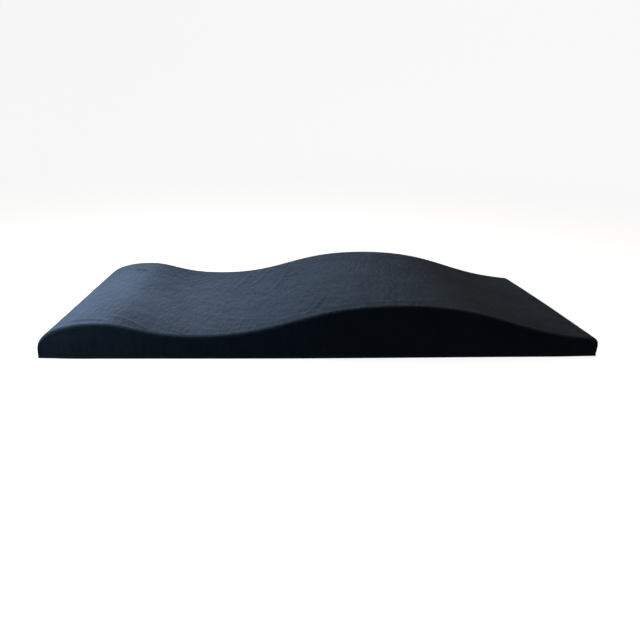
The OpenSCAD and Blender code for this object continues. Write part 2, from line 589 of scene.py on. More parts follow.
def joined(name: str, *parts: bpy.types.Object) -> bpy.types.Object:
    """One piece from several.

    Args:
        name: of the piece.
        parts: what it is made of.
    Returns:
        The piece.
    """
    choose(*parts)
    if len(parts) > 1:
        bpy.ops.object.join()
    parts[0].name = name
    return parts[0]


def stitch(length: float, radius: float) -> bpy.types.Object:
    """One stitch along X: a short round thread with tapered ends.

    Args:
        length: from end to end.
        radius: of the thread.
    Returns:
        The stitch, at the origin.
    """
    deselect()
    bpy.ops.mesh.primitive_cylinder_add(
        vertices=6, radius=radius, depth=length * 0.6, rotation=(0, math.pi / 2, 0)
    )
    obj = bpy.context.object
    settle_origin(obj)
    for sign in (-1, 1):
        pick(obj, lambda at, out: out.x * sign > 0.9)
        bpy.ops.mesh.extrude_region_move(TRANSFORM_OT_translate={"value": (sign * length * 0.2, 0, 0)})
        bpy.ops.transform.resize(value=(1, 0.45, 0.45))
        bpy.ops.transform.translate(value=(0, -radius * 0.7, 0))
        bpy.ops.object.mode_set(mode="OBJECT")
    turn_out(obj)
    return obj


def along(start: Array, way: Array, out: Array) -> Matrix:
    """A place with X along a way and Y outwards.

    Args:
        start: the place.
        way: the direction of X.
        out: the direction of Y, roughly.
    Returns:
        The matrix of the place.
    """
    x = Vector(way).normalized()
    y = Vector(out)
    y = (y - x * y.dot(x)).normalized()
    turned = Matrix((x, y, x.cross(y))).transposed().to_4x4()
    return Matrix.Translation(Vector(start)) @ turned


# ---------------------------------------------------------------------------------------
# Finishes
# ---------------------------------------------------------------------------------------


class Recipe:
    """A material being made: short calls for its nodes and links."""

    def __init__(self, name: str) -> None:
        """Starts the material with its usual shader.

        Args:
            name: of the material.
        """
        self.material = bpy.data.materials.new(name)
        self.material.use_nodes = True
        self.tree = self.material.node_tree
        self.shader = self.tree.nodes["Principled BSDF"]

    def feed(self, socket: bpy.types.NodeSocket, value: object) -> None:
        """Links a socket to another, or sets its value.

        Args:
            socket: the one that is fed.
            value: another socket, or a value.
        """
        if isinstance(value, bpy.types.NodeSocket):
            self.tree.links.new(value, socket)
        else:
            socket.default_value = value

    def node(self, kind: str, inputs: dict[str | int, object], **settings: object) -> bpy.types.Node:
        """Adds a node.

        Args:
            kind: its type, without the usual prefix.
            inputs: what each of its sockets takes, by the socket's name or number.
            settings: its own properties.
        Returns:
            The node.
        """
        node = self.tree.nodes.new("ShaderNode" + kind)
        for name, value in settings.items():
            setattr(node, name, value)
        for name, value in inputs.items():
            self.feed(node.inputs[name], value)
        return node

    def surface(self, **values: object) -> None:
        """Sets sockets of the shader by name, with underscores for spaces.

        Args:
            values: what each socket takes.
        """
        sockets = {socket.name.lower().replace(" ", "_"): socket for socket in self.shader.inputs}
        for name, value in values.items():
            self.feed(sockets[name.lower()], value)

    def where(
        self, uv: str | None = None, scale: tuple[float, float, float] = (1, 1, 1), turn: float = 0.0
    ) -> bpy.types.NodeSocket:
        """Places on the piece: its object coordinates, or one of its UV maps.

        Args:
            uv: name of the UV map.
            scale: of the pattern in each direction.
            turn: angle of the pattern about Z.
        Returns:
            The coordinates' socket.
        """
        if uv:
            source = self.node("UVMap", {}, uv_map=uv).outputs[0]
        else:
            source = self.node("TexCoord", {}).outputs["Object"]
        inputs = {"Vector": source, "Scale": scale, "Rotation": (0, 0, turn)}
        return self.node("Mapping", inputs).outputs[0]

    def noise(self, at: bpy.types.NodeSocket, scale: float, detail: float = 3.0) -> bpy.types.NodeSocket:
        """A soft noise of a given scale."""
        return self.node("TexNoise", {"Vector": at, "Scale": scale, "Detail": detail}).outputs[0]

    def ribs(
        self, at: bpy.types.NodeSocket, pitch: float, stray: float, wander: float
    ) -> bpy.types.NodeSocket:
        """Ribs across the first direction.

        Args:
            at: places on the piece, in metres.
            pitch: from rib to rib.
            stray: how much the ribs waver.
            wander: scale of the wavering.
        Returns:
            Height of the ribs, from 0 to 1.
        """
        inputs = {
            "Vector": at,
            "Scale": 2 * math.pi / (20 * pitch),
            "Distortion": stray,
            "Detail": 2.0,
            "Detail Scale": wander,
        }
        return self.node("TexWave", inputs, wave_type="BANDS", bands_direction="X").outputs["Fac"]

    def maths(self, how: str, *values: object) -> bpy.types.NodeSocket:
        """A number worked out from others."""
        return self.node("Math", dict(enumerate(values)), operation=how).outputs[0]

    def between(self, share: object, low: object, high: object) -> bpy.types.NodeSocket:
        """A colour between two others."""
        inputs = {"Factor": share, 6: padded_colour(low), 7: padded_colour(high)}
        return self.node("Mix", inputs, data_type="RGBA").outputs[2]

    def ramp(
        self, share: object, low: float, high: float, start: float = 0.0, end: float = 1.0
    ) -> bpy.types.NodeSocket:
        """A number that goes from start to end as its source goes from low to high."""
        inputs = {"Value": share, 1: low, 2: high, 3: start, 4: end}
        return self.node("MapRange", inputs, interpolation_type="SMOOTHSTEP").outputs[0]

    def relief(self, height: object, depth: float, under: object = None) -> bpy.types.NodeSocket:
        """A bump of a given depth in metres, laid on another.

        Args:
            height: of the bump, from 0 to 1.
            depth: of the bump.
            under: the one below it.
        Returns:
            The surface direction.
        """
        inputs = {"Height": height, "Distance": depth, "Strength": 1.0}
        if under is not None:
            inputs["Normal"] = under
        return self.node("Bump", inputs).outputs[0]


def padded_colour(value: object) -> object:
    """A plain colour with its alpha, or a socket as it is."""
    return (*value, 1.0) if isinstance(value, tuple) else value


@dataclass(frozen=True)
class Velour:
    """Short-pile slate blue velour with a fine rib across the width and a soft sheen."""

    name: str = "velour"
    ground: Colour = (0.016, 0.023, 0.033)
    tips: Colour = (0.048, 0.066, 0.094)
    sheen_tint: Colour = (0.56, 0.75, 1.0)
    sheen: float = 0.6
    sheen_roughness: float = 0.42
    rib_pitch: float = 0.0055
    rib_depth: float = 0.00045
    crush_depth: float = 0.0028

    def material(self) -> bpy.types.Material:
        """Makes the finish.

        Returns:
            The material.
        """
        mix = Recipe(self.name)
        cloth = mix.where("cloth")
        ribs = mix.ribs(cloth, self.rib_pitch, 2.4, 2.2)
        nap = mix.noise(cloth, 8.0, 2.0)
        brushed = mix.noise(mix.where("cloth", (1.0, 0.4, 1.0)), 42.0, 4.0)
        crushed = mix.noise(mix.where("cloth", (1.0, 0.28, 1.0)), 110.0, 3.0)
        fibre = mix.noise(cloth, 1500.0, 2.0)
        worn = mix.maths("MULTIPLY", ribs, mix.ramp(brushed, 0.35, 0.62, 0.25, 1.0))
        patches, ridges = mix.ramp(nap, 0.32, 0.68, 0.4, 1.0), mix.ramp(worn, 0.0, 1.0, 0.55, 1.0)
        shade = mix.maths("MULTIPLY", patches, ridges)
        shade = mix.maths("MULTIPLY", shade, mix.ramp(crushed, 0.3, 0.7, 0.6, 1.2))
        soft = mix.relief(nap, 0.0026)
        soft = mix.relief(brushed, 0.0022, soft)
        soft = mix.relief(crushed, self.crush_depth, soft)
        soft = mix.relief(worn, self.rib_depth, soft)
        soft = mix.relief(fibre, 0.00010, soft)
        mix.surface(Base_color=mix.between(shade, self.ground, self.tips), Normal=soft)
        mix.surface(Roughness=mix.ramp(fibre, 0.3, 0.7, 0.72, 0.9), Specular_ior_level=0.25)
        mix.surface(Sheen_weight=self.sheen, Sheen_roughness=self.sheen_roughness)
        mix.surface(Sheen_tint=padded_colour(self.sheen_tint))
        return mix.material


@dataclass(frozen=True)
class Foam:
    """Open-cell foam with a cut face of fine pores, painted darker at their middles as shade in their
    hollows.
    """

    light: Colour = (0.84, 0.77, 0.56)
    pore_shade: Colour = (0.46, 0.38, 0.22)

    def material(self) -> bpy.types.Material:
        """Makes the finish.

        Returns:
            The material.
        """
        mix = Recipe("foam")
        at = mix.where()
        cells = mix.node("TexVoronoi", {"Vector": at, "Scale": 620.0}).outputs["Distance"]
        tone = mix.noise(at, 5.0, 3.0)
        # Each cell's middle takes the pore colour as painted shade in the pore's hollow; the patches are
        # random tone.
        shaded_pores, patches = mix.ramp(cells, 0.0, 0.45, 0.15, 1.0), mix.ramp(tone, 0.3, 0.7, 0.82, 1.0)
        share = mix.maths("MULTIPLY", shaded_pores, patches)
        mix.surface(Base_color=mix.between(share, self.pore_shade, self.light), Roughness=0.95)
        mix.surface(Normal=mix.relief(cells, 0.0006), Specular_ior_level=0.2)
        return mix.material


@dataclass(frozen=True)
class Woven:
    """Cloth or tape with two crossing sets of threads."""

    name: str
    low: Colour
    high: Colour
    pitch: float
    slant: float = 0.0
    roughness: float = 0.8
    sheen: float = 0.2
    uv: str | None = None
    turn: float = 0.0

    def material(self) -> bpy.types.Material:
        """Makes the finish.

        Returns:
            The material.
        """
        mix = Recipe(self.name)
        warp = mix.ribs(mix.where(self.uv, turn=self.turn + self.slant), self.pitch, 0.5, 1.0)
        weft = mix.ribs(mix.where(self.uv, turn=self.turn + math.pi / 2 - self.slant), self.pitch, 0.5, 1.0)
        weave = mix.maths("MAXIMUM", warp, weft)
        patch = mix.noise(mix.where(self.uv), 20.0, 3.0)
        share = mix.maths("MULTIPLY", weave, mix.ramp(patch, 0.3, 0.7, 0.75, 1.0))
        mix.surface(Base_color=mix.between(share, self.low, self.high), Sheen_weight=self.sheen)
        mix.surface(Roughness=mix.ramp(weave, 0.0, 1.0, self.roughness, self.roughness - 0.12))
        mix.surface(Normal=mix.relief(weave, self.pitch * 0.35), Specular_ior_level=0.3)
        return mix.material


@dataclass(frozen=True)
class Thread:
    """Twisted sewing thread."""

    low: Colour = (0.010, 0.012, 0.016)
    high: Colour = (0.032, 0.039, 0.050)

    def material(self) -> bpy.types.Material:
        """Makes the finish.

        Returns:
            The material.
        """
        mix = Recipe("thread")
        twist = mix.ribs(mix.where(turn=0.7), 0.0006, 0.4, 1.0)
        mix.surface(Base_color=mix.between(twist, self.low, self.high), Sheen_weight=0.3)
        mix.surface(Roughness=mix.ramp(twist, 0.0, 1.0, 0.75, 0.55), Normal=mix.relief(twist, 0.0001))
        return mix.material


@dataclass(frozen=True)
class Nylon:
    """Drawn nylon of the zip's coil, satin."""

    low: Colour = (0.012, 0.013, 0.015)
    high: Colour = (0.030, 0.032, 0.036)

    def material(self) -> bpy.types.Material:
        """Makes the finish.

        Returns:
            The material.
        """
        mix = Recipe("zip_nylon")
        worn = mix.noise(mix.where(), 700.0, 3.0)
        mix.surface(Base_color=mix.between(worn, self.low, self.high), Normal=mix.relief(worn, 0.00004))
        mix.surface(Roughness=mix.ramp(worn, 0.3, 0.7, 0.32, 0.5))
        return mix.material


@dataclass(frozen=True)
class Enamel:
    """Die-cast metal under dark enamel, a little worn on its edges."""

    name: str
    coat: Colour
    worn: Colour
    metallic: float
    roughness: float

    def material(self) -> bpy.types.Material:
        """Makes the finish.

        Returns:
            The material.
        """
        mix = Recipe(self.name)
        at = mix.where()
        edge = mix.node("NewGeometry", {}).outputs["Pointiness"]
        rubbed = mix.maths("MULTIPLY", mix.ramp(edge, 0.52, 0.60), mix.ramp(mix.noise(at, 900.0), 0.4, 0.6))
        grain = mix.noise(at, 2600.0, 3.0)
        mix.surface(Base_color=mix.between(rubbed, self.coat, self.worn), Metallic=self.metallic)
        mix.surface(Roughness=mix.ramp(grain, 0.3, 0.7, self.roughness - 0.08, self.roughness + 0.08))
        mix.surface(Normal=mix.relief(grain, 0.00002))
        return mix.material


class Finish(Protocol):
    """What every finish can do."""

    def material(self) -> bpy.types.Material:
        """Makes the finish."""


MADE: dict[Finish, str] = {}


def dress(obj: bpy.types.Object, finish: Finish, body: str = "cushion") -> bpy.types.Object:
    """Gives a piece its finish and its body.

    Args:
        obj: the piece.
        finish: a finish with a material method.
        body: the body that the piece moves with.
    Returns:
        The piece.
    """
    known = bpy.data.materials.get(MADE.get(finish, ""))
    material = known or finish.material()
    MADE[finish] = material.name
    obj.data.materials.clear()
    obj.data.materials.append(material)
    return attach(obj, body)


# The side panels' velour is the same cloth as the top, with darker ground and tips as painted shade on the
# upright sides.
SHADED_SIDE_VELOUR = Velour(
    "side_velour",
    ground=(0.007, 0.012, 0.018),
    tips=(0.018, 0.029, 0.043),
    sheen=0.9,
    rib_depth=0.00010,
    crush_depth=0.0006,
)
GRIP_CLOTH = Woven("grip_cloth", (0.008, 0.009, 0.010), (0.030, 0.033, 0.037), 0.0011, roughness=0.9)
GRIP_DOTS = Woven(
    "grip_dots", (0.014, 0.015, 0.017), (0.026, 0.028, 0.031), 0.0009, roughness=0.62, sheen=0.0
)
LINER = Woven("liner_knit", (0.50, 0.51, 0.50), (0.78, 0.79, 0.78), 0.0013, roughness=0.9)
TAPE = Woven(
    "tape_twill", (0.007, 0.008, 0.010), (0.030, 0.034, 0.040), 0.0008, slant=0.6, turn=0.4, uv="cloth"
)
LABEL = Woven("label_satin", (0.62, 0.62, 0.59), (0.86, 0.86, 0.83), 0.0005, roughness=0.5, uv="cloth")
DARK_METAL = Enamel("slider_enamel", (0.020, 0.021, 0.023), (0.070, 0.070, 0.072), 0.35, 0.34)
BARE_METAL = Enamel("stop_metal", (0.42, 0.42, 0.43), (0.62, 0.62, 0.62), 0.9, 0.34)


# ---------------------------------------------------------------------------------------
# Cloth
# ---------------------------------------------------------------------------------------


@dataclass(frozen=True)
class Settling:
    """A short cloth simulation of a panel that was cut a little too large for its place."""

    spare: float = 0.006
    frames: int = 22
    bending: float = 0.9
    weight: float = 0.35
    friction: float = 12.0

    def run(self, points: Array, pinned: Array, ground: bpy.types.Object) -> Array:
        """Lets the panel settle.

        Args:
            points: rows by columns by three.
            pinned: how firmly each point is held, from 0 to 1.
            ground: what the panel lies on.
        Returns:
            The settled points, in the same order.
        """
        cloth = mesh_object("settling", points, grid_faces(*points.shape[:2]))
        group = cloth.vertex_groups.new(name="held")
        for index, hold in enumerate(pinned.ravel()):
            group.add([index], float(hold), "REPLACE")
        ground.modifiers.new("solid", "COLLISION")
        ground.collision.thickness_outer = 0.0008
        ground.collision.cloth_friction = self.friction
        modifier = cloth.modifiers.new("settling", "CLOTH")
        rules = modifier.settings
        rules.quality = 6
        rules.mass = self.weight
        rules.tension_stiffness = 30
        rules.compression_stiffness = 30
        rules.shear_stiffness = 12
        rules.bending_stiffness = self.bending
        rules.tension_damping = rules.compression_damping = rules.shear_damping = 12
        rules.air_damping = 4
        rules.vertex_group_mass = group.name
        rules.pin_stiffness = 1
        rules.shrink_min = -self.spare
        modifier.collision_settings.distance_min = 0.0012
        modifier.collision_settings.use_self_collision = False
        modifier.point_cache.frame_start = 1
        modifier.point_cache.frame_end = self.frames
        scene = bpy.context.scene
        for number in range(1, self.frames + 1):
            scene.frame_set(number)
        flat = np.zeros(points.size, np.float32)
        evaluated = cloth.evaluated_get(bpy.context.evaluated_depsgraph_get())
        evaluated.data.vertices.foreach_get("co", flat)
        scene.frame_set(1)
        bpy.data.objects.remove(cloth)
        return flat.reshape(points.shape).astype(float)


def resampled(field_values: Array, rows: Array, columns: Array, new_rows: Array, new_columns: Array) -> Array:
    """A grid of values read at other rows and columns, by straight lines between its own."""
    along = np.stack([np.interp(new_rows, rows, column) for column in field_values.T], 1)
    return np.stack([np.interp(new_columns, columns, row) for row in along], 0)


@dataclass(frozen=True)
class Crease:
    """One fold in a panel: a soft ridge with a shallow valley beside it.

    Places are on the flat cut: distance along the panel from its nose end, and across it from
    the near seam.
    """

    start: tuple[float, float]
    end: tuple[float, float]
    width: float
    height: float
    bow: float = 0.0

    def lift(self, u: Array, v: Array) -> Array:
        """Height that the fold adds at places on the flat cut.

        Args:
            u: places along the panel.
            v: places across it.
        Returns:
            The height at each place.
        """
        a, b = np.array(self.start), np.array(self.end)
        run = b - a
        length = float(np.linalg.norm(run))
        run = run / length
        t = ((u - a[0]) * run[0] + (v - a[1]) * run[1]) / length
        off = (u - a[0]) * -run[1] + (v - a[1]) * run[0] - self.bow * 4 * t * (1 - t)
        fade = smooth(-0.05, 0.25, t) * (1 - smooth(0.7, 1.05, t))
        ridge = np.exp(-((off / self.width) ** 2))
        valley = np.exp(-(((off + 1.5 * self.width) / (1.1 * self.width)) ** 2))
        return self.height * fade * (ridge - 0.55 * valley)


def rumple(u: Array, v: Array, cell: tuple[float, float], seed: int) -> Array:
    """Soft random relief, from -1 to 1, with cells of a given length and width.

    Args:
        u: places along the panel.
        v: places across it.
        cell: length and width of the relief's cells.
        seed: makes one relief differ from the next.
    Returns:
        The relief at each place.
    """
    draw = np.random.default_rng(seed)
    total = np.zeros_like(u)
    for octave in range(3):
        scale = 1.7**octave
        for _ in range(6):
            angle = draw.uniform(0, 2 * math.pi)
            ku = 2 * math.pi * scale / cell[0] * math.cos(angle)
            kv = 2 * math.pi * scale / cell[1] * math.sin(angle)
            total += np.sin(ku * u + kv * v + draw.uniform(0, 2 * math.pi)) / scale
    return total / 9.0


# ---------------------------------------------------------------------------------------
# Cover
# ---------------------------------------------------------------------------------------


@dataclass
class TopPanel:
    """The strip of velour over the nose, the wave and the foot end."""

    body: Body
    thickness: float = 0.0008
    step: float = 0.0056
    coarse_step: float = 0.010
    allowance: float = 0.003
    held_in: float = 0.012
    settled_share: float = 0.22
    inward_cap: float = 0.0008
    outward_cap: float = 0.0025
    ground_inset: float = 0.0022
    settling: Settling = field(default_factory=Settling)
    creases: tuple[Crease, ...] = (
        Crease((0.120, 0.034), (0.215, 0.020), 0.0047, 0.0029, 0.003),
        Crease((0.205, 0.056), (0.318, 0.004), 0.0052, 0.0043, 0.004),
        Crease((0.225, 0.034), (0.312, -0.004), 0.0034, 0.0032, 0.003),
        Crease((0.362, 0.032), (0.396, 0.002), 0.0034, 0.0026),
        Crease((0.158, 0.474), (0.206, 0.464), 0.0047, 0.0041),
        Crease((0.532, 0.545), (0.486, 0.350), 0.0073, 0.0026, 0.006),
        Crease((0.596, 0.545), (0.540, 0.370), 0.0069, 0.0029, 0.006),
        Crease((0.668, 0.545), (0.606, 0.290), 0.0073, 0.0038, 0.010),
        Crease((0.690, 0.500), (0.682, 0.270), 0.0069, 0.0017),
        Crease((0.752, 0.140), (0.696, 0.022), 0.0056, 0.0026, 0.004),
        Crease((0.746, 0.095), (0.737, 0.006), 0.0043, 0.0020),
        Crease((1.172, 0.062), (1.190, 0.012), 0.0039, 0.0020),
        Crease((1.368, 0.060), (1.358, 0.008), 0.0039, 0.0020),
    )
    path: Path = field(init=False)
    start: float = field(init=False)
    length: float = field(init=False)
    width: float = field(init=False)

    def __post_init__(self) -> None:
        """Works out where the strip starts and ends, and its flat size between the stitching."""
        self.path = self.body.outline()
        self.start = self.body.seam_z
        run = self.path.total - 2 * self.body.seam_z
        self.length = run + 2 * (LEVEL.roll - LEVEL.reach)
        self.width = 2 * (self.body.half_w + CORNER.roll - CORNER.reach)

    def spread(self, a: Array, total: float, lip: Lip) -> tuple[Array, Array]:
        """Place and depth across a strip with the same lip at both of its edges.

        Args:
            a: distances from the first stitching.
            total: from stitching to stitching.
            lip: of both edges.
        Returns:
            The place of each on the strip, and how deep it lies.
        """
        near, near_depth = lip.fold(a)
        far, far_depth = lip.fold(total - a)
        ideal = total - 2 * (lip.roll - lip.reach)
        return np.where(a < total / 2, near, ideal - far), near_depth + far_depth

    def surface(self, u: Array, v: Array, inset: float = 0.0) -> tuple[Array, Array]:
        """The strip's face before its plan is drawn in.

        Args:
            u: places along the flat cut, from the stitching at the nose.
            v: places across it, from the near stitching.
            inset: how far inside the true face.
        Returns:
            Points and outward directions, each u by v by three.
        """
        along, depth_u = self.spread(u, self.length, LEVEL)
        across, depth_v = self.spread(v, self.width, CORNER)
        at, out = self.path.at(self.start + along)
        depth = inset + depth_u[:, None] + depth_v[None, :]
        points = np.zeros((len(u), len(v), 3))
        points[..., 0] = at[:, None, 0] - out[:, None, 0] * depth
        points[..., 1] = across[None, :] - self.body.half_w
        points[..., 2] = at[:, None, 1] - out[:, None, 1] * depth
        outward = np.zeros_like(points)
        outward[..., 0], outward[..., 2] = out[:, None, 0], out[:, None, 1]
        return points, outward

    def gaps(self, u: Array, v: Array) -> Array:
        """Distance of each point of the strip to its nearest stitching."""
        return np.minimum(
            np.minimum(u, self.length - u)[:, None], np.minimum(v, self.width - v)[None, :]
        )

    def settled_lift(self, u: Array, v: Array) -> Array:
        """Height that settling gives each point of the strip, square to its face.

        Args:
            u: places along the flat cut.
            v: places across it.
        Returns:
            A capped share of what the simulation gives, u by v.
        """
        edge = (0.0, 0.006, 0.014)
        rows = fine_steps(self.length, self.coarse_step, edge)
        columns = fine_steps(self.width, self.coarse_step, edge)
        start, outward = self.surface(rows, columns)
        under, _ = self.surface(rows, columns, self.ground_inset)
        ground = mesh_object("ground", under, grid_faces(len(rows), len(columns), flip=True))
        held = 1 - smooth(self.held_in, 2.2 * self.held_in, self.gaps(rows, columns))
        settled = self.settling.run(start, held, ground)
        bpy.data.objects.remove(ground)
        lift = np.einsum("ijk,ijk->ij", settled - start, outward)
        LOG.info("top panel settled by %.1f to %.1f mm", 1000 * lift.min(), 1000 * lift.max())
        lift = self.settled_share * resampled(lift, rows, columns, u, v)
        return np.clip(lift, -self.inward_cap, self.outward_cap)

    def puckers(self, u: Array, v: Array) -> Array:
        """Short gathers that stand square to the two long seams.

        Args:
            u: places along the flat cut.
            v: places across it.
        Returns:
            Their height, u by v.
        """
        total = np.zeros((len(u), len(v)))
        for number, gap in enumerate((v, self.width - v)):
            draw = np.random.default_rng(40 + number)
            for place in np.arange(0.03, self.length - 0.03, 0.021):
                at = place + draw.uniform(-0.008, 0.008)
                reach = draw.uniform(0.010, 0.026)
                height = draw.uniform(0.0001, 0.0009)
                shape = bump(at, draw.uniform(0.0035, 0.006), u)[:, None]
                total += height * shape * np.exp(-np.abs(gap) / reach)[None, :]
        return total

    def relief(self, u: Array, v: Array) -> Array:
        """Height of folds, gathers and soft unevenness above the smooth face.

        Args:
            u: places along the flat cut.
            v: places across it.
        Returns:
            The height, u by v.
        """
        uu, vv = np.meshgrid(u, v, indexing="ij")
        lift = 0.0005 * rumple(uu, vv, (0.30, 0.22), 3) + 0.00022 * rumple(uu, vv, (0.045, 0.16), 5)
        for crease in self.creases:
            lift = lift + crease.lift(uu, vv)
        return (lift + self.puckers(u, v)) * smooth(0.0, 0.010, self.gaps(u, v))

    def build(self) -> bpy.types.Object:
        """Models the strip.

        Returns:
            The finished sheet.
        """
        close = (-self.allowance, -self.allowance / 2, 0.0, 0.0010, 0.0020, 0.0030, 0.0042, 0.0065, 0.0100)
        u = fine_steps(self.length, self.step, close)
        v = fine_steps(self.width, self.step, close)
        lift = self.relief(u, v)
        lift = lift + self.settled_lift(u, v)
        points, outward = self.surface(u, v)
        points = self.body.placed(points + lift[..., None] * outward)
        cloth = np.stack(np.meshgrid(u, v, indexing="ij"), -1)
        panel = grid_object("cover_top_cloth", points, cloth, flip=True)
        thicken(panel, self.thickness)
        shade(panel, 60)
        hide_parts("cover_top_panel")
        return dress(panel, Velour())


@dataclass(frozen=True)
class Edge:
    """One long edge of a side panel: its height by place along the cushion, and its lip."""

    height: Callable[[Array], Array]
    lip: Lip


@dataclass
class SidePanel:
    """A side panel or a strip of one, upright between two edges over the cushion's length."""

    body: Body
    name: str
    node: str
    side: Side
    low: Edge
    high: Edge
    belly: float = 0.0014
    seed: int = 11
    step: float = 0.0060
    thickness: float = 0.0008
    allowance: float = 0.003
    wrinkles: tuple[Crease, ...] = ()

    def place(self) -> Array:
        """Places of the panel's face, close together at its edges.

        Returns:
            X and Z of each place, columns by rows by two.
        """
        close = np.array((0.0, 0.0002, 0.0006, 0.0011, 0.0017, 0.0035, 0.0065))
        length = 2 * (self.body.half_l - CORNER.edge)
        x = fine_steps(length, self.step, tuple(close)) - length / 2
        low = self.low.height(x) + self.low.lip.edge
        inset = self.body.outline(self.high.lip.edge)
        wave = np.interp(x, *ascending(inset.points))
        high = np.minimum(wave, self.high.height(x) - self.high.lip.edge)
        share = np.linspace(0, 1, max(5, int(float((high - low).max()) / self.step)))[1:-1]
        columns = []
        for bottom, top in zip(low, np.maximum(high, low + 0.001)):
            fixed = close * min(1.0, (top - bottom) / 0.030)
            middle = bottom + fixed[-1] + share * (top - bottom - 2 * fixed[-1])
            columns.append(np.concatenate([bottom + fixed, middle, top - fixed[::-1]]))
        up = np.array(columns)
        return np.stack([np.repeat(x[:, None], up.shape[1], 1), up], -1)

    def depth(self, at: Array) -> Array:
        """How deep the panel's lips put each point below its face.

        Args:
            at: places of the face in X and Z.
        Returns:
            The depth of each point.
        """
        flat = at.reshape(-1, 2)
        x = np.linspace(-self.body.half_l, self.body.half_l, 400)
        total = CORNER.depth(self.body.outline().distance(flat))
        for edge in (self.low, self.high):
            if edge.lip is not CORNER:
                line = Path(np.stack([x, edge.height(x)], 1))
                total = np.maximum(total, edge.lip.depth(line.distance(flat)))
        return total.reshape(at.shape[:2])

    def relief(self, at: Array) -> Array:
        """How far the face stands out of its plane between its edges.

        Args:
            at: places of the face in X and Z.
        Returns:
            The height of each point above its plane.
        """
        x, z = at[..., 0], at[..., 1]
        low, high = z[:, :1], z[:, -1:]
        t = np.clip((z - low) / (high - low), 0, 1)
        crown = self.belly * np.sqrt(np.clip(4 * t * (1 - t), 0, 1))
        loose = 0.0005 * rumple(x, z, (0.11, 0.035), self.seed) * np.sin(math.pi * t)
        if self.high.lip is CORNER:
            loose = loose + 0.0007 * bump(0.0065, 0.0022, high - z)
        if self.low.lip is LEVEL:
            loose = loose + 0.0005 * bump(0.0065, 0.0025, z - low)
        for wrinkle in self.wrinkles:
            loose = loose + wrinkle.lift(x, z)
        return crown + loose * smooth(0.0, 0.004, np.minimum(z - low, high - z))

    def rim(self, at: Array, level: Array) -> Array:
        """Adds the hidden turned edge round the face.

        Args:
            at: places of the face in X and Z.
            level: distance of the face from the cushion's middle.
        Returns:
            Points of face and edge together, columns by rows by three.
        """
        grid = np.pad(np.concatenate([at, level[..., None]], -1), ((2, 2), (2, 2), (0, 0)), mode="edge")
        inner = np.pad(at[1:-1, 1:-1], ((3, 3), (3, 3), (0, 0)), mode="edge")
        towards = inner - grid[..., :2]
        towards /= np.maximum(np.linalg.norm(towards, axis=-1, keepdims=True), 1e-9)
        turned = np.zeros((*grid.shape[:2], 2))
        for ring, hidden in ((1, 0.0), (0, self.allowance)):
            turned[:, ring] = self.low.lip.beyond(hidden)
            turned[:, -1 - ring] = self.high.lip.beyond(hidden)
            turned[ring, :] = turned[-1 - ring, :] = CORNER.beyond(hidden)
        grid[..., :2] += towards * turned[..., :1]
        grid[..., 2] -= turned[..., 1]
        return np.stack([grid[..., 0], self.side.value * grid[..., 2], grid[..., 1]], -1)

    def build(self) -> bpy.types.Object:
        """Models the panel.

        Returns:
            The finished sheet.
        """
        at = self.place()
        level = self.body.half_w - self.depth(at) + self.relief(at)
        points = self.rim(at, level)
        cloth = np.stack([points[..., 0] + self.body.half_l, points[..., 2]], -1)
        panel = grid_object(self.name, self.body.placed(points), cloth, flip=self.side is Side.NEAR)
        thicken(panel, self.thickness)
        shade(panel, 60)
        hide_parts(self.node)
        # The darker velour copy paints the shade that falls on the sides.
        return dress(panel, SHADED_SIDE_VELOUR)


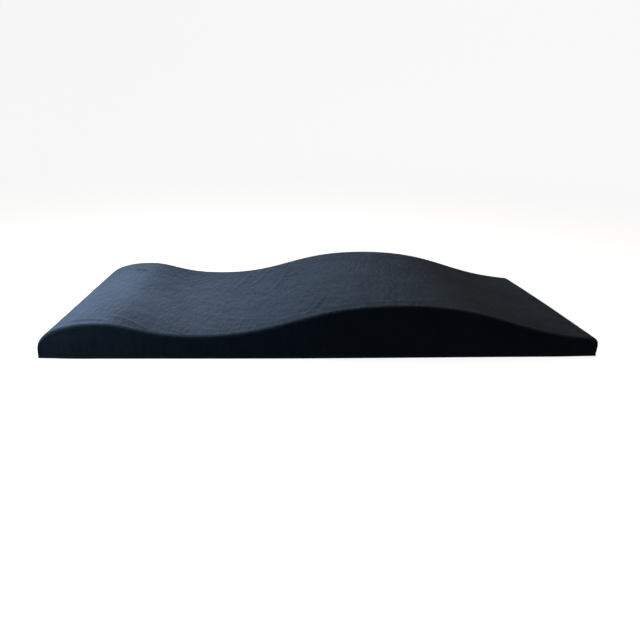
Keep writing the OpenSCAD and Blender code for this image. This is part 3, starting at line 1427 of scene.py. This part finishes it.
@dataclass
class BasePanel:
    """The grip cloth underneath, turned up all round to its seam, with its raised dots."""

    body: Body
    level: float = 0.0005
    corner_r: float = 0.0016
    thickness: float = 0.0006
    allowance: float = 0.003
    step: float = 0.014
    dot_r: float = 0.0017
    dot_pitch: float = 0.013
    dot_row_share: float = 0.87
    dot_margin: float = 0.016

    def cloth(self) -> bpy.types.Object:
        """Models the cloth.

        Returns:
            The finished sheet.
        """
        from_seam = np.concatenate([[-self.allowance], np.linspace(0, LEVEL.roll, 6)])
        below, inset = LEVEL.fold(from_seam)
        lip = np.stack([inset, self.body.seam_z - below], 1)
        turn = np.linspace(0, math.pi / 2, 7)
        bend = np.stack([1 - np.cos(turn), 1 - np.sin(turn)], 1) * self.corner_r
        profile = np.concatenate([lip, bend + [0, self.level]])
        axes = []
        for half in (self.body.half_l, self.body.half_w):
            inner = np.linspace(0, 1, int(2 * (half - self.corner_r) / self.step))[1:-1]
            inner = (inner * 2 - 1) * (half - self.corner_r)
            place = np.concatenate([-half + profile[:, 0], inner, half - profile[::-1, 0]])
            up = np.concatenate([profile[:, 1], np.full(len(inner), self.level), profile[::-1, 1]])
            axes.append((place, up))
        (x, x_up), (y, y_up) = axes
        points = np.zeros((len(x), len(y), 3))
        points[..., 0], points[..., 1] = x[:, None], y[None, :]
        points[..., 2] = np.maximum(x_up[:, None], y_up[None, :])
        cloth = np.stack(np.meshgrid(x, y, indexing="ij"), -1)
        panel = grid_object("cover_base_cloth", self.body.placed(points), cloth)
        thicken(panel, self.thickness)
        shade(panel, 60)
        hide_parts("cover_base_panel")
        return dress(panel, GRIP_CLOTH)

    def dots(self) -> bpy.types.Object:
        """Models the dots: one low dome, copied in a staggered field.

        Returns:
            The dots, as one piece.
        """
        deselect()
        bpy.ops.mesh.primitive_circle_add(vertices=7, radius=self.dot_r, fill_type="NGON")
        dot = bpy.context.object
        bpy.ops.object.mode_set(mode="EDIT")
        for share, drop in ((0.82, 0.6), (0.5, 0.4)):
            bpy.ops.mesh.extrude_region_move(TRANSFORM_OT_translate={"value": (0, 0, -drop * self.level)})
            bpy.ops.transform.resize(value=(share, share, 1))
        bpy.ops.object.mode_set(mode="OBJECT")
        turn_out(dot)
        places = []
        across = self.body.half_w - self.dot_margin
        end = self.body.half_l - self.dot_margin
        for number, y in enumerate(np.arange(-across, across, self.dot_pitch * self.dot_row_share)):
            start = -self.body.half_l + self.dot_margin + (number % 2) * self.dot_pitch / 2
            for x in np.arange(start, end, self.dot_pitch):
                places.append(Matrix.Translation((x, y, self.level)))
        field_of_dots = shade(repeat("cover_base_dots", dot, places), 40)
        return dress(field_of_dots, GRIP_DOTS)


@dataclass
class Filling:
    """The contour-cut foam block and the thin liner round it."""

    body: Body
    foam_inset: float = 0.0045
    liner_inset: float = 0.0034
    liner_thickness: float = 0.0004
    foam_bottom: float = 0.0030
    liner_bottom: float = 0.0021
    side_slack: float = 0.0012
    liner_hem: float = 0.19
    corner_r: float = 0.010

    def block(self, name: str, inset: float, bottom: float, radius: float) -> bpy.types.Object:
        """A block of the cushion's outline, extruded across it, with rounded edges.

        Args:
            name: of the piece.
            inset: from the cushion's face.
            bottom: height of its underside.
            radius: of its edges.
        Returns:
            The closed block.
        """
        line = self.body.outline(inset).points
        line = line[np.concatenate([[True], line[1:-1, 1] > bottom + 0.004, [True]])][::2]
        line[0, 1] = line[-1, 1] = bottom
        line[-1, 0] = self.body.half_l - inset
        half = self.body.half_w - inset - self.side_slack
        corners = np.stack([line[:, 0], np.full(len(line), -half), line[:, 1]], 1)
        block = mesh_object(name, corners, [list(range(len(corners)))])
        choose(block)
        bpy.ops.object.mode_set(mode="EDIT")
        bpy.ops.mesh.select_all(action="SELECT")
        bpy.ops.mesh.extrude_region_move(TRANSFORM_OT_translate={"value": (0, 2 * half, 0)})
        bpy.ops.object.mode_set(mode="OBJECT")
        turn_out(block)
        rounded(block, radius, 4, 40)
        points = np.array([v.co for v in block.data.vertices])
        block.data.vertices.foreach_set("co", self.body.placed(points).ravel())
        return shade(block, 40)

    def foam(self) -> bpy.types.Object:
        """Models the foam block.

        Returns:
            The finished block.
        """
        block = self.block("foam_block", self.foam_inset, self.foam_bottom, self.corner_r)
        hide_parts("foam_core")
        return dress(block, Foam())

    def liner(self) -> bpy.types.Object:
        """Models the liner.

        Returns:
            The finished sheet.
        """
        liner = self.block("foam_liner", self.liner_inset, self.liner_bottom, self.corner_r)
        thicken(liner, self.liner_thickness)
        path = self.body.outline(self.liner_inset)
        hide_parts("core_liner")
        return dress(liner, LINER)


@dataclass
class Seams:
    """The threads of the cover's seams, which lie in the grooves between the lips."""

    body: Body
    pitch: float = 0.0034
    radius: float = 0.0003
    depth: float = 0.0018
    base_depth: float = 0.0006
    thread_share: float = 0.86

    def row(self, line: Array, out: Array) -> list[Matrix]:
        """Places of the stitches along a line.

        Args:
            line: points of the line, three coordinates each.
            out: outward direction at each point.
        Returns:
            One place for each stitch.
        """
        line = self.body.placed(line)
        s = np.concatenate([[0], np.cumsum(np.linalg.norm(np.diff(line, axis=0), axis=1))])
        at = np.arange(self.pitch, s[-1] - self.pitch, self.pitch)
        where = np.stack([np.interp(at, s, c) for c in line.T], 1)
        ahead = np.stack([np.interp(at + 0.001, s, c) for c in line.T], 1)
        faces = np.stack([np.interp(at, s, c) for c in out.T], 1)
        return [along(a, b - a, c) for a, b, c in zip(where, ahead, faces)]

    def corner(self, side: Side) -> list[Matrix]:
        """Stitches of the seam over the wave on one side.

        Args:
            side: which long side.
        Returns:
            One place for each stitch.
        """
        path = self.body.outline(self.depth)
        keep = path.points[:, 1] > self.body.seam_z
        up = path.points[keep]
        y = side.value * (self.body.half_w - self.depth)
        line = np.stack([up[:, 0], np.full(len(up), y), up[:, 1]], 1)
        out = path.outward[keep]
        return self.row(line, np.stack([out[:, 0], np.full(len(out), float(side.value)), out[:, 1]], 1))

    def level(self, start: tuple[float, float], end: tuple[float, float], out: Place) -> list[Matrix]:
        """Stitches of the seam round the base, from one corner to the next.

        Args:
            start: the first corner, in X and Y.
            end: the last one.
            out: the outward direction.
        Returns:
            One place for each stitch.
        """
        share = np.linspace(0, 1, 200)[:, None]
        plan = np.array(start) * (1 - share) + np.array(end) * share
        line = np.concatenate([plan, np.full_like(share, self.body.seam_z)], 1)
        return self.row(line, np.repeat(np.array([out], float), len(share), 0))

    def side(self, side: Side, name: str, node: str) -> bpy.types.Object:
        """Models the thread all round one side panel.

        Args:
            side: which long side.
            name: of the piece.
            node: the CAD node it stands for.
        Returns:
            The finished thread.
        """
        x, y = self.body.half_l - self.depth, side.value * (self.body.half_w - self.base_depth)
        places = self.corner(side) + self.level((-x, y), (x, y), (0, side.value, 0))
        one = stitch(self.pitch * self.thread_share, self.radius)
        thread = shade(repeat(name, one, places), 60)
        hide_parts(node)
        return dress(thread, Thread())

    def ends(self) -> bpy.types.Object:
        """Models the thread of the two seams across the ends.

        Returns:
            The finished thread.
        """
        x, y = self.body.half_l - self.base_depth, self.body.half_w - self.depth
        places = self.level((-x, -y), (-x, y), (-1, 0, 0)) + self.level((x, -y), (x, y), (1, 0, 0))
        one = stitch(self.pitch * self.thread_share, self.radius)
        thread = shade(repeat("end_seam_stitches", one, places), 60)
        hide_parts("end_seam_threads")
        return dress(thread, Thread())


@dataclass
class Zip:
    """The zip along the far side: tapes, coils, stops and the stitching that holds them."""

    middle_z: float
    coil_pitch: float = 0.0015
    wire_r: float = 0.00028
    stitch_pitch: float = 0.0032
    thread_r: float = 0.0003
    bead: float = 0.0014
    tape_inset: float = 0.00025
    tape_thickness: float = 0.00055
    mesh_depth: float = 0.0009
    stitch_share: float = 0.82
    tack_pitch: float = 0.00062
    tack_lean: float = 0.15
    tack_long: float = 0.0026
    tack_r: float = 0.00032

    def tape(self, row: Row) -> bpy.types.Object:
        """Models one tape: a flat strip with a rounded bead at the coil's edge.

        Args:
            row: which half of the zip.
        Returns:
            The finished sheet.
        """
        node = f"zip_tape_{row.name.lower()}"
        low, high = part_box(node)
        inner = low.z if row is Row.UPPER else high.z
        outer = high.z if row is Row.UPPER else low.z
        bead = row.value * self.bead
        profile = [(outer, 0.0), (inner + 2 * bead, 0.0), (inner + bead, 0.0001)]
        profile += [(inner + 0.4 * bead, 0.00025), (inner, 0.0)]
        x = np.linspace(low.x, high.x, 160)
        points = np.array([[(a, high.y - self.tape_inset + up, z) for z, up in profile] for a in x])
        cloth = points[..., [0, 2]]
        tape = grid_object(f"zip_{row.name.lower()}_tape", points, cloth, flip=row is Row.UPPER)
        thicken(tape, self.tape_thickness)
        shade(tape, 50)
        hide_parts(node)
        return dress(tape, TAPE)

    def coil(self, row: Row) -> bpy.types.Object:
        """Models one row of coil: a turned wire whose loops reach just past the middle.

        Args:
            row: which half of the zip.
        Returns:
            The finished coil.
        """
        node = f"zip_coil_{row.name.lower()}"
        low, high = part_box(node)
        turns = int((high.x - low.x) / self.coil_pitch) - 1
        tall = (high.z - low.z + self.mesh_depth) / 2
        deep = (high.y - low.y) / 2 - self.wire_r
        deselect()
        bpy.ops.mesh.primitive_circle_add(vertices=5, radius=self.wire_r, rotation=(math.pi / 2, 0, 0))
        coil = bpy.context.object
        coil.location = (0, 0, tall - self.wire_r)
        settle_origin(coil)
        screw = coil.modifiers.new("turns", "SCREW")
        screw.axis, screw.steps, screw.render_steps = "X", 9, 9
        screw.iterations, screw.screw_offset = turns, self.coil_pitch
        apply_all(coil)
        points = np.array([v.co for v in coil.data.vertices])
        points[:, 1] *= deep / (tall - self.wire_r)
        points[:, 0] += low.x + self.wire_r + (0 if row is Row.UPPER else self.coil_pitch / 2)
        points[:, 1] += (low.y + high.y) / 2
        points[:, 2] += (low.z + high.z - row.value * self.mesh_depth / 2) / 2
        coil.data.vertices.foreach_set("co", points.ravel())
        bpy.ops.object.mode_set(mode="EDIT")
        bpy.ops.mesh.select_all(action="DESELECT")
        bpy.ops.mesh.select_mode(type="EDGE")
        bpy.ops.mesh.select_non_manifold()
        bpy.ops.mesh.edge_face_add()
        bpy.ops.object.mode_set(mode="OBJECT")
        turn_out(coil)
        coil.name = f"zip_{row.name.lower()}_coil"
        shade(coil, 60)
        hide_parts(node)
        return dress(coil, Nylon())

    def topstitch(self, row: Row) -> bpy.types.Object:
        """Models the row of stitches beside one folded edge.

        Args:
            row: which half of the zip.
        Returns:
            The finished thread.
        """
        node = f"zip_topstitch_{row.name.lower()}"
        low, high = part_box(node)
        y, z = low.y + 0.0001, (low.z + high.z) / 2
        places = [
            along(np.array([x, y, z]), np.array([1, 0, 0]), np.array([0, 1, 0]))
            for x in np.arange(low.x + self.stitch_pitch / 2, high.x, self.stitch_pitch)
        ]
        one = stitch(self.stitch_pitch * self.stitch_share, self.thread_r)
        thread = shade(repeat(f"zip_{row.name.lower()}_stitches", one, places), 60)
        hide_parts(node)
        return dress(thread, Thread())

    def bar_tacks(self) -> bpy.types.Object:
        """Models the close stitching across both ends of the slot.

        Returns:
            The finished thread.
        """
        low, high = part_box("zip_bar_tacks")
        places = []
        for end in (-1, 1):
            x = end * (high.x - 0.0008)
            for number, z in enumerate(np.arange(low.z + 0.0004, high.z, self.tack_pitch)):
                lean = self.tack_lean if number % 2 else -self.tack_lean
                way = np.array([1, 0, lean])
                places.append(along(np.array([x, low.y + 0.00015, z]), way, np.array([0, 1, 0])))
        one = stitch(self.tack_long, self.tack_r)
        thread = shade(repeat("zip_end_tacks", one, places), 60)
        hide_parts("zip_bar_tacks")
        return dress(thread, Thread())

    def stops(self) -> list[bpy.types.Object]:
        """Models the stamped stops: two at the closed end, one broad one at the other.

        Returns:
            The finished pieces.
        """
        made = []
        for node, halves in (("zip_top_stops", 2), ("zip_bottom_stop", 1)):
            low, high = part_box(node)
            parts = []
            for half in range(halves):
                bottom, top = low.copy(), high.copy()
                if halves == 2:
                    bottom.z = self.middle_z + 0.0005 if half else low.z
                    top.z = high.z if half else self.middle_z - 0.0005
                clip = slab("clip", bottom, top)
                pick(clip, lambda at, out: out.y > 0.9)
                bpy.ops.mesh.inset(thickness=0.0004, depth=0)
                bpy.ops.transform.translate(value=(0, -0.0002, 0))
                bpy.ops.object.mode_set(mode="OBJECT")
                parts.append(rounded(clip, 0.00025, 2, 30))
            piece = joined(node + "_clip", *parts)
            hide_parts(node)
            made.append(dress(piece, BARE_METAL))
        return made


@dataclass
class Slider:
    """The zip's slider: two shield plates with turned lips, a neck and an arched bridge."""

    plate: float = 0.0011
    bridge_wide: float = 0.0022
    bridge_thick: float = 0.0011
    waist: float = 0.74
    bridge_deep: float = 0.0030
    neck_wide: float = 0.0009

    def shield(self, name: str, low: Sequence[float], high: Sequence[float], lips: float) -> bpy.types.Object:
        """A plate that narrows towards its tail, with a lip along each side.

        Args:
            name: of the plate.
            low: its lowest corner.
            high: its highest corner.
            lips: how far the lips stand from it, with their direction along Y.
        Returns:
            The plate.
        """
        plate = slab(name, low, high)
        choose(plate)
        bpy.ops.object.mode_set(mode="EDIT")
        bpy.ops.mesh.select_all(action="SELECT")
        bpy.ops.mesh.subdivide(number_cuts=5)
        bpy.ops.object.mode_set(mode="OBJECT")
        middle, half = (low[2] + high[2]) / 2, (high[2] - low[2]) / 2
        for vertex in plate.data.vertices:
            t = (vertex.co.x - low[0]) / (high[0] - low[0])
            narrow = self.waist + (1 - self.waist) * float(smooth(0.1, 0.75, t))
            narrow *= 1 - 0.22 * float(smooth(0.8, 1.0, t) + smooth(0.8, 1.0, 1 - t))
            vertex.co.z = middle + (vertex.co.z - middle) * narrow
        facing = 1 if lips > 0 else -1

        def outer_strip(at: Vector, out: Vector) -> bool:
            """Whether a face lies along one side of the plate's inner face."""
            return out.y * facing > 0.9 and abs(at.z - middle) > 0.62 * half

        pick(plate, outer_strip)
        bpy.ops.mesh.extrude_region_move(TRANSFORM_OT_translate={"value": (0, lips, 0)})
        bpy.ops.object.mode_set(mode="OBJECT")
        return rounded(plate, 0.00022, 2, 50)

    def bridge(self, front: float, low: Vector, high: Vector) -> bpy.types.Object:
        """The arch that holds the pull's pin: a square face spun over half a turn, then flattened.

        Args:
            front: Y of the front plate's outer face.
            low: the slider's lowest corner.
            high: the slider's highest corner.
        Returns:
            The arch.
        """
        centre = Vector(((low.x + high.x) / 2, front, (low.z + high.z) / 2))
        reach = (high.x - low.x) / 2 - 0.0008
        deselect()
        bpy.ops.mesh.primitive_plane_add(size=1, rotation=(math.pi / 2, 0, 0))
        arch = bpy.context.object
        arch.scale = (self.bridge_thick, self.bridge_wide, 1)
        arch.location = centre + Vector((reach - self.bridge_thick / 2, 0, 0))
        settle_origin(arch)
        choose(arch)
        bpy.ops.object.mode_set(mode="EDIT")
        bpy.ops.mesh.select_all(action="SELECT")
        bpy.ops.mesh.spin(steps=14, angle=math.pi, center=centre, axis=(0, 0, 1))
        bpy.ops.object.mode_set(mode="OBJECT")
        squeeze = (high.y - front) / reach
        for vertex in arch.data.vertices:
            vertex.co.y = front + (vertex.co.y - front) * squeeze - 0.0001
        turn_out(arch)
        return rounded(arch, 0.00028, 2, 50)

    def build(self) -> bpy.types.Object:
        """Models the slider.

        Returns:
            The finished piece.
        """
        low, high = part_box("zip_slider")
        front = high.y - self.bridge_deep
        outer = self.shield("front", (low.x, front - self.plate, low.z), (high.x, front, high.z), -0.0008)
        inner = self.shield("back", low, (high.x, low.y + self.plate, high.z), 0.0002)
        neck_low = (low.z + high.z - self.neck_wide) / 2
        neck_start = (high.x - 0.0028, low.y + 0.0004, neck_low)
        neck_end = (high.x - 0.0006, front - 0.0004, neck_low + self.neck_wide)
        neck = rounded(slab("neck", neck_start, neck_end), 0.0003, 2)
        piece = joined("zip_slider_body", outer, inner, neck, self.bridge(front, low, high))
        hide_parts("zip_slider")
        return dress(piece, DARK_METAL, "slider")


@dataclass
class Pull:
    """The pull tab: an eye with its pin, a waist and a sunk panel."""

    eye: float = 0.0075
    pin_r: float = 0.00055
    rim: float = 0.0011
    half_hole: float = 0.0023
    sunk_deep: float = 0.00022
    pin_long: float = 0.0056
    pin_x: float = 0.55
    eye_share: float = 0.84
    panel_share: float = 0.98
    waist_end: float = 0.026
    tail_start: float = 0.0305
    tail_round: float = 0.0035
    head_round: float = 0.0022

    def build(self) -> bpy.types.Object:
        """Models the pull.

        Returns:
            The finished piece.
        """
        low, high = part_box("zip_pull")
        middle = (low.z + high.z) / 2
        tab = slab("tab", low, high)
        choose(tab)
        bpy.ops.object.mode_set(mode="EDIT")
        bpy.ops.mesh.select_all(action="SELECT")
        bpy.ops.mesh.subdivide(number_cuts=15)
        bpy.ops.object.mode_set(mode="OBJECT")
        for vertex in tab.data.vertices:
            back = high.x - vertex.co.x
            widen = float(smooth(self.eye, self.waist_end, back))
            narrow = self.eye_share + (self.panel_share - self.eye_share) * widen
            tail = float(np.clip((back - self.tail_start) / self.tail_round, 0, 1))
            narrow *= math.sqrt(max(1 - 0.8 * tail**2, 0.05))
            head = float(np.clip(1 - back / self.head_round, 0, 1))
            narrow *= math.sqrt(1 - 0.55 * head**2)
            vertex.co.z = middle + (vertex.co.z - middle) * narrow
        bottom, top = middle - self.half_hole, middle + self.half_hole
        hole_low = (high.x - self.eye, low.y - 0.001, bottom)
        hole_high = (high.x - self.rim - 0.0001, high.y + 0.001, top)
        cut_open(tab, rounded(slab("hole", hole_low, hole_high), 0.0009, 3))
        for face_y in (high.y, low.y):
            sunk_low = (low.x + 0.0042, face_y - self.sunk_deep, bottom)
            sunk_high = (high.x - self.eye - 0.0022, face_y + self.sunk_deep, top)
            cut_open(tab, rounded(slab("sunk", sunk_low, sunk_high), 0.00018, 1))
        rounded(tab, 0.00018, 2, 50)
        deselect()
        bpy.ops.mesh.primitive_cylinder_add(
            vertices=16,
            radius=self.pin_r,
            depth=self.pin_long,
            location=(self.pin_x, (low.y + high.y) / 2, middle),
        )
        pin = bpy.context.object
        settle_origin(pin)
        piece = joined("zip_pull_tab", tab, rounded(pin, 0.00012, 1))
        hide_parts("zip_pull")
        return dress(piece, DARK_METAL, "pull")


@dataclass
class CareLabel:
    """A blank satin label, folded in two and sewn into the base seam."""

    body: Body
    curl: float = 0.0035
    layer: float = 0.00022

    def build(self) -> bpy.types.Object:
        """Models the label.

        Returns:
            The finished sheet.
        """
        low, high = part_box("care_label")
        tall = high.z - low.z
        v = np.concatenate([np.linspace(0, 0.95, 16), np.linspace(1.0, 1.95, 17) + 0.05])
        u = np.linspace(0, 1, 14)
        points = np.zeros((len(u), len(v), 3))
        for j, share in enumerate(v):
            front = share > 1
            up = tall * (2 - share if front else share)
            up = min(up, tall) - 0.0004
            lift = self.curl * (up / tall) ** 2
            gap = 0.0003 + (0.0006 if front else 0.0) + 0.0003 * math.sin(math.pi * min(up / tall, 1))
            points[:, j, 0] = low.x + u * (high.x - low.x)
            points[:, j, 1] = low.y + gap + lift * (0.55 + 0.45 * u) + 0.0003 * np.sin(5 * u + 3 * share)
            points[:, j, 2] = low.z - 0.0004 + up
        cloth = np.stack(np.meshgrid(u * (high.x - low.x), v * tall, indexing="ij"), -1)
        label = grid_object("blank_care_label", self.body.placed(points), cloth, flip=True)
        thicken(label, self.layer)
        shade(label, 70)
        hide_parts("care_label")
        return dress(label, LABEL)


# ---------------------------------------------------------------------------------------
# Studio
# ---------------------------------------------------------------------------------------


@dataclass(frozen=True)
class Lamp:
    """A soft lamp that points at a place; spread is how wide its light opens, in degrees."""

    name: str
    at: Place
    aim: Place
    power: float
    size: float
    tint: Colour
    spread: float = 180.0

    def place(self) -> None:
        """Adds the lamp."""
        data = bpy.data.lights.new(self.name, "AREA")
        data.energy, data.size, data.color = self.power, self.size, self.tint
        data.spread = math.radians(self.spread)
        lamp = bpy.data.objects.new(self.name, data)
        bpy.context.scene.collection.objects.link(lamp)
        lamp.location = self.at
        lamp.rotation_euler = (Vector(self.aim) - Vector(self.at)).to_track_quat("-Z", "Y").to_euler()
        lamp.visible_camera = False


@dataclass
class Studio:
    """The pale floor, the soft light and the camera."""

    camera_at: Place = (-0.1296, -1.4129, 0.5413)
    yaw: float = 5.165
    pitch: float = 21.116
    roll: float = 1.979
    lens: float = 28.29
    floor_r: float = 4.5
    cove_r: float = 1.0
    wall: float = 3.2
    glow: float = 0.90
    ambient: float = 0.035
    lamps: tuple[Lamp, ...] = (
        Lamp("key", (-1.65, -0.12, 0.42), (-0.45, 0.0, 0.05), 10.5, 0.5, (0.80, 0.88, 1.0)),
        Lamp("top", (0.2, 0.45, 2.2), (0.2, 0.0, 0.1), 10.0, 1.6, (1.0, 0.80, 0.64)),
        Lamp("high", (-0.70, -0.10, 0.80), (-0.60, -0.05, 0.10), 1.5, 0.5, (0.78, 0.88, 1.0), 70),
        Lamp("low", (-1.15, -0.95, 0.10), (-0.7, -0.28, 0.05), 2.8, 0.3, (0.45, 0.72, 1.0)),
        Lamp("back", (0.0, 1.90, 0.10), (0.0, 0.28, 0.05), 2.0, 0.5, (0.85, 0.92, 1.0), 120),
    )

    def floor(self) -> bpy.types.Object:
        """Makes a round floor that rises into a wall all round.

        Returns:
            The floor.
        """
        deselect()
        bpy.ops.mesh.primitive_circle_add(vertices=96, radius=self.floor_r, fill_type="NGON")
        floor = bpy.context.object
        floor.name = "floor"
        bpy.ops.object.mode_set(mode="EDIT")
        bpy.ops.mesh.delete(type="ONLY_FACE")
        bpy.ops.mesh.select_mode(type="EDGE")
        bpy.ops.mesh.select_all(action="SELECT")
        turn = np.linspace(0, math.pi / 2, 11)
        wide, rise = self.floor_r + self.cove_r * np.sin(turn), self.cove_r * (1 - np.cos(turn))
        for share, climb in zip(wide[1:] / wide[:-1], np.diff(rise)):
            bpy.ops.mesh.extrude_region_move()
            bpy.ops.transform.resize(value=(share, share, 1))
            bpy.ops.transform.translate(value=(0, 0, climb))
        bpy.ops.mesh.extrude_region_move(TRANSFORM_OT_translate={"value": (0, 0, self.wall)})
        bpy.ops.object.mode_set(mode="OBJECT")
        deselect()
        bpy.ops.mesh.primitive_circle_add(vertices=96, radius=self.floor_r, fill_type="NGON")
        floor = joined("floor", floor, bpy.context.object)
        shade(floor, 60)
        recipe = Recipe("studio_paper")
        tone = recipe.noise(recipe.where(), 2.0, 2.0)
        recipe.surface(Base_color=recipe.between(tone, (0.80, 0.80, 0.80), (0.82, 0.82, 0.82)), Roughness=0.9)
        recipe.surface(Emission_color=(1, 1, 1, 1), Emission_strength=self.glow, Specular_ior_level=0.0)
        floor.data.materials.append(recipe.material)
        floor.visible_diffuse = floor.visible_glossy = False
        return floor

    def lights(self) -> None:
        """Adds the lamps and the weak light from all round."""
        for lamp in self.lamps:
            lamp.place()
        world = bpy.data.worlds.new("soft_surround")
        world.use_nodes = True
        background = world.node_tree.nodes["Background"]
        background.inputs["Color"].default_value = (1.0, 1.0, 1.0, 1.0)
        background.inputs["Strength"].default_value = self.ambient
        bpy.context.scene.world = world

    def camera(self) -> None:
        """Places the camera."""
        yaw, pitch, roll = (math.radians(a) for a in (self.yaw, self.pitch, self.roll))
        ahead = Vector((math.sin(yaw) * math.cos(pitch), math.cos(yaw) * math.cos(pitch), -math.sin(pitch)))
        right = Vector((math.cos(yaw), -math.sin(yaw), 0))
        up = right.cross(ahead)
        across = right * math.cos(roll) + up * math.sin(roll)
        upward = up * math.cos(roll) - right * math.sin(roll)
        data = bpy.data.cameras.new("camera")
        data.lens, data.sensor_width = self.lens, 36
        camera = bpy.data.objects.new("camera", data)
        bpy.context.scene.collection.objects.link(camera)
        turned = Matrix((across, upward, -ahead)).transposed().to_4x4()
        camera.matrix_world = Matrix.Translation(self.camera_at) @ turned
        bpy.context.scene.camera = camera

    def build(self) -> None:
        """Sets the studio up."""
        self.floor()
        self.lights()
        self.camera()
        bpy.context.scene.view_settings.view_transform = "Standard"


# ---------------------------------------------------------------------------------------
# Assembly
# ---------------------------------------------------------------------------------------

SLOT_HALF = 0.0065


def zip_line(middle: float, half_gap: float, row: Row, slot_end: float) -> Callable[[Array], Array]:
    """Height of the folded edge beside the zip, which closes to a plain seam past its ends.

    Args:
        middle: height of the zip's middle.
        half_gap: from its middle to the fold.
        row: which half of the zip.
        slot_end: X of the slot's end.
    Returns:
        The height as a function of the place along the cushion.
    """

    def height(x: Array) -> Array:
        """Height at places along the cushion."""
        wide = half_gap - (half_gap - 0.0001) * smooth(slot_end - 0.001, slot_end + 0.005, np.abs(x))
        return middle + row.value * wide

    return height


def side_panels(body: Body, middle: float, half_gap: float, slot_end: float) -> list[SidePanel]:
    """The near side panel, and the two strips of the far one.

    Args:
        body: the cushion.
        middle: height of the zip's middle.
        half_gap: from its middle to the folds beside it.
        slot_end: X of the slot's end.
    Returns:
        The three finished sheets.
    """
    base = Edge(lambda x: np.full_like(x, body.seam_z), LEVEL)
    top = Edge(lambda x: np.full_like(x, 1.0), CORNER)
    over_zip = Edge(zip_line(middle, half_gap, Row.UPPER, slot_end), TURNED)
    under_zip = Edge(zip_line(middle, half_gap, Row.LOWER, slot_end), TURNED)
    wrinkles = (
        Crease((0.395, 0.030), (0.470, 0.024), 0.004, 0.0010),
        Crease((0.410, 0.044), (0.500, 0.040), 0.005, 0.0008),
        Crease((-0.640, 0.060), (-0.560, 0.030), 0.006, 0.0010),
        Crease((-0.660, 0.022), (-0.600, 0.016), 0.004, 0.0008),
        Crease((-0.080, 0.050), (0.060, 0.058), 0.009, 0.0007),
    )
    near = SidePanel(
        body, "cover_near_cloth", "cover_near_side", Side.NEAR, base, top, 0.0024, 11, wrinkles=wrinkles
    )
    upper = SidePanel(
        body, "cover_far_upper_cloth", "cover_far_upper", Side.FAR, over_zip, top, 0.0010, 12
    )
    lower = SidePanel(
        body, "cover_far_lower_cloth", "cover_far_lower", Side.FAR, base, under_zip, 0.0004, 13
    )
    return [near, upper, lower]


def main() -> None:
    """Builds the cushion and the studio round the frame."""
    low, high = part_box("cover_top_panel")
    body = Body((high.x - low.x) / 2, (high.y - low.y) / 2, Wave(high.x - low.x))
    upper_low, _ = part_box("zip_tape_upper")
    _, lower_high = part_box("zip_tape_lower")
    middle = (upper_low.z + lower_high.z) / 2
    _, slot_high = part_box("zip_topstitch_upper")
    cover = [TopPanel(body).build()]
    cover += [panel.build() for panel in side_panels(body, middle, SLOT_HALF, slot_high.x)]
    base = BasePanel(body)
    filling = Filling(body)
    seams = Seams(body)
    closure = Zip(middle)
    pieces = cover + [base.cloth(), base.dots(), filling.foam(), filling.liner()]
    pieces.append(seams.side(Side.NEAR, "near_seam_stitches", "near_seam_thread"))
    pieces.append(seams.side(Side.FAR, "far_seam_stitches", "far_seam_thread"))
    pieces.append(seams.ends())
    for row in Row:
        pieces += [closure.tape(row), closure.coil(row), closure.topstitch(row)]
    pieces += [closure.bar_tacks(), *closure.stops()]
    pieces += [Slider().build(), Pull().build(), CareLabel(body).build()]
    for piece in pieces:
        LOG.info("%s: %d faces", piece.name, len(piece.data.polygons))
    Studio().build()
    deselect()


if __name__ == "__main__":
    logging.basicConfig(level=logging.INFO, format="%(message)s", stream=sys.stdout)
    main()
